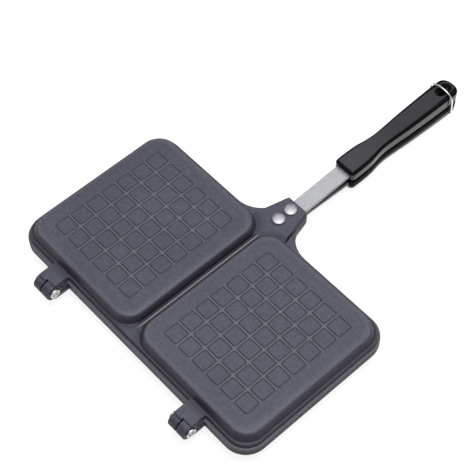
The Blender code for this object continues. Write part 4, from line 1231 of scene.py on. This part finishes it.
# %% Metals
def metal(name, dark, bright, smooth, rough, group, scale, strength):
    """A metal whose colour and roughness follow one effect, with a little relief from it."""
    material, shader, where = new_material(name, metallic=1.0)
    value = effect(material, where, group, scale)
    material.node_tree.links.new(between(material, value, dark, bright), shader.inputs["Base Color"])
    material.node_tree.links.new(between(material, value, smooth, rough), shader.inputs["Roughness"])
    relief(material, shader, value, strength, 0.02 * MM)
    return material


METALS = {
    "brushed_strap": ((0.28, 0.28, 0.29), (0.42, 0.42, 0.43), 0.42, 0.54, STREAKS, 2400.0, 0.2),
    "bright_rivet": ((0.35, 0.35, 0.37), (0.44, 0.44, 0.46), 0.46, 0.56, GRAIN, 700.0, 0.1),
    "bail_wire": ((0.78, 0.78, 0.80), (0.88, 0.88, 0.89), 0.24, 0.34, GRAIN, 900.0, 0.08),
    "plated_steel": ((0.46, 0.46, 0.48), (0.56, 0.56, 0.57), 0.36, 0.46, GRAIN, 900.0, 0.1),
    "insert_brass": ((0.55, 0.38, 0.13), (0.70, 0.50, 0.20), 0.26, 0.36, GRAIN, 1200.0, 0.15),
}
FINISHES = {slot: metal(slot.replace("_", " "), *values) for slot, values in METALS.items()}
FINISHES.update(coated_casting=coating, bakelite=bakelite)
for piece, slot in made_pieces.values():
    piece.data.materials.clear()
    piece.data.materials.append(FINISHES[slot])
print("finishes", sorted(FINISHES))

# %% [markdown]
# ## Floor
#
# The maker lies on plain white. The floor is a real surface that takes the maker's shadow, and a
# glow that only camera, glossy and transmission rays see lifts it to white without lighting the maker.

# %% Floor
FLOOR_HALF, FLOOR_STEPS, FLOOR_DROP = 6.0, 8, 0.2 * MM
PAPER_GREY, PAPER_GLOW, PAPER_ROUGHNESS = 0.26, 0.86, 0.9


def floor_mesh():
    """A flat grid just under the maker."""
    line = np.linspace(-FLOOR_HALF, FLOOR_HALF, FLOOR_STEPS + 1)
    x, y = np.meshgrid(line, line, indexing="ij")
    points = np.stack([x, y, np.full_like(x, -FLOOR_DROP)], axis=-1).reshape(-1, 3)
    index = np.arange(x.size).reshape(x.shape)
    quads = np.stack([index[:-1, :-1], index[1:, :-1], index[1:, 1:], index[:-1, 1:]], axis=-1).reshape(-1, 4)
    mesh = bpy.data.meshes.new("floor")
    mesh.from_pydata(points.tolist(), [], quads.tolist())
    return mesh


floor = new_object("floor", floor_mesh())
paper, shader, where = new_material("white paper", roughness=PAPER_ROUGHNESS, colour=(PAPER_GREY,) * 3)
rays, sums = paper.node_tree.nodes.new("ShaderNodeLightPath").outputs, Sums(paper.node_tree)
seen = sums.most(rays["Is Camera Ray"], rays["Is Glossy Ray"], rays["Is Transmission Ray"])
paper.node_tree.links.new(sums("MULTIPLY", seen, PAPER_GLOW), shader.inputs["Emission Strength"])
shader.inputs["Emission Color"].default_value = (1, 1, 1, 1)
shader.inputs["Specular IOR Level"].default_value = 0.0
floor.data.materials.append(paper)
print("floor", 2 * FLOOR_HALF, "m wide")

# %% [markdown]
# ## Light
#
# A pale sky, brightest overhead and almost dark towards the horizon, fills the shadows. One soft lamp
# hangs over the maker, a little to its right.

# %% Light
SKY_COLOUR, SKY_UP = (0.97, 0.985, 1.0, 1), Vector((0.0, 0.2, 1.0)).normalized()
SKY_START, SKY_DARKEST, SKY_STRENGTH = 0.45, 0.01, 1.7
LAMP_AT, LAMP_SIZE, LAMP_POWER = Vector((0.1, -0.05, 1.25)), 0.45, 8.0

world = bpy.data.worlds.new("studio")
world.use_nodes = True
sky, background = world.node_tree, world.node_tree.nodes["Background"].inputs
background["Color"].default_value = SKY_COLOUR
direction, height = sky.nodes.new("ShaderNodeTexCoord"), sky.nodes.new("ShaderNodeVectorMath")
height.operation = "DOT_PRODUCT"
height.inputs[1].default_value = SKY_UP
glow = sky.nodes.new("ShaderNodeMapRange")
glow.interpolation_type = "SMOOTHSTEP"
glow_range = (("From Min", SKY_START), ("From Max", 1.0), ("To Min", SKY_DARKEST), ("To Max", SKY_STRENGTH))
for label, number in glow_range:
    glow.inputs[label].default_value = number
sky.links.new(direction.outputs["Generated"], height.inputs[0])
sky.links.new(height.outputs["Value"], glow.inputs["Value"])
sky.links.new(glow.outputs["Result"], background["Strength"])
bpy.context.scene.world = world

lamp = bpy.data.lights.new("overhead lamp", "AREA")
lamp.shape, lamp.size, lamp.energy = "SQUARE", LAMP_SIZE, LAMP_POWER
lamp_object = new_object("overhead lamp", lamp)
lamp_object.location = LAMP_AT
lamp_object.rotation_euler = (-LAMP_AT).to_track_quat("-Z", "Y").to_euler()
print("lamp", LAMP_POWER, "watts, sky", SKY_STRENGTH, "overhead")

# %% [markdown]
# ## Camera
#
# The camera stands where the portrait was taken from. Its place and its three axes follow from the
# engraved squares and the edges of the plates, and its lens from the focal length in pixels.

# %% Camera
CAMERA_AT = (387.16 * MM, -307.478 * MM - MIDDLE_Y, 822.44 * MM)
RIGHT = Vector((0.67205539, 0.74040906, -0.01166123))
DOWN = Vector((0.61158241, -0.56386297, -0.55500046))
AHEAD = Vector((-0.4175027, 0.36585924, -0.8317683))
SENSOR_WIDTH, FOCAL_PIXELS, PICTURE_PIXELS, CLIP_START = 36.0, 1333.0, 465.0, 0.01
camera = bpy.data.cameras.new("camera")
camera.sensor_width = SENSOR_WIDTH
camera.lens = SENSOR_WIDTH * FOCAL_PIXELS / PICTURE_PIXELS
camera.dof.use_dof = False
camera.clip_start = CLIP_START
camera_object = new_object("camera", camera)
axes = Matrix((RIGHT, -DOWN, -AHEAD)).transposed().to_4x4()
camera_object.matrix_world = Matrix.Translation(CAMERA_AT) @ axes
bpy.context.scene.camera = camera_object
bpy.context.scene.view_settings.view_transform = "Standard"
print("lens", round(camera.lens, 1), "mm")
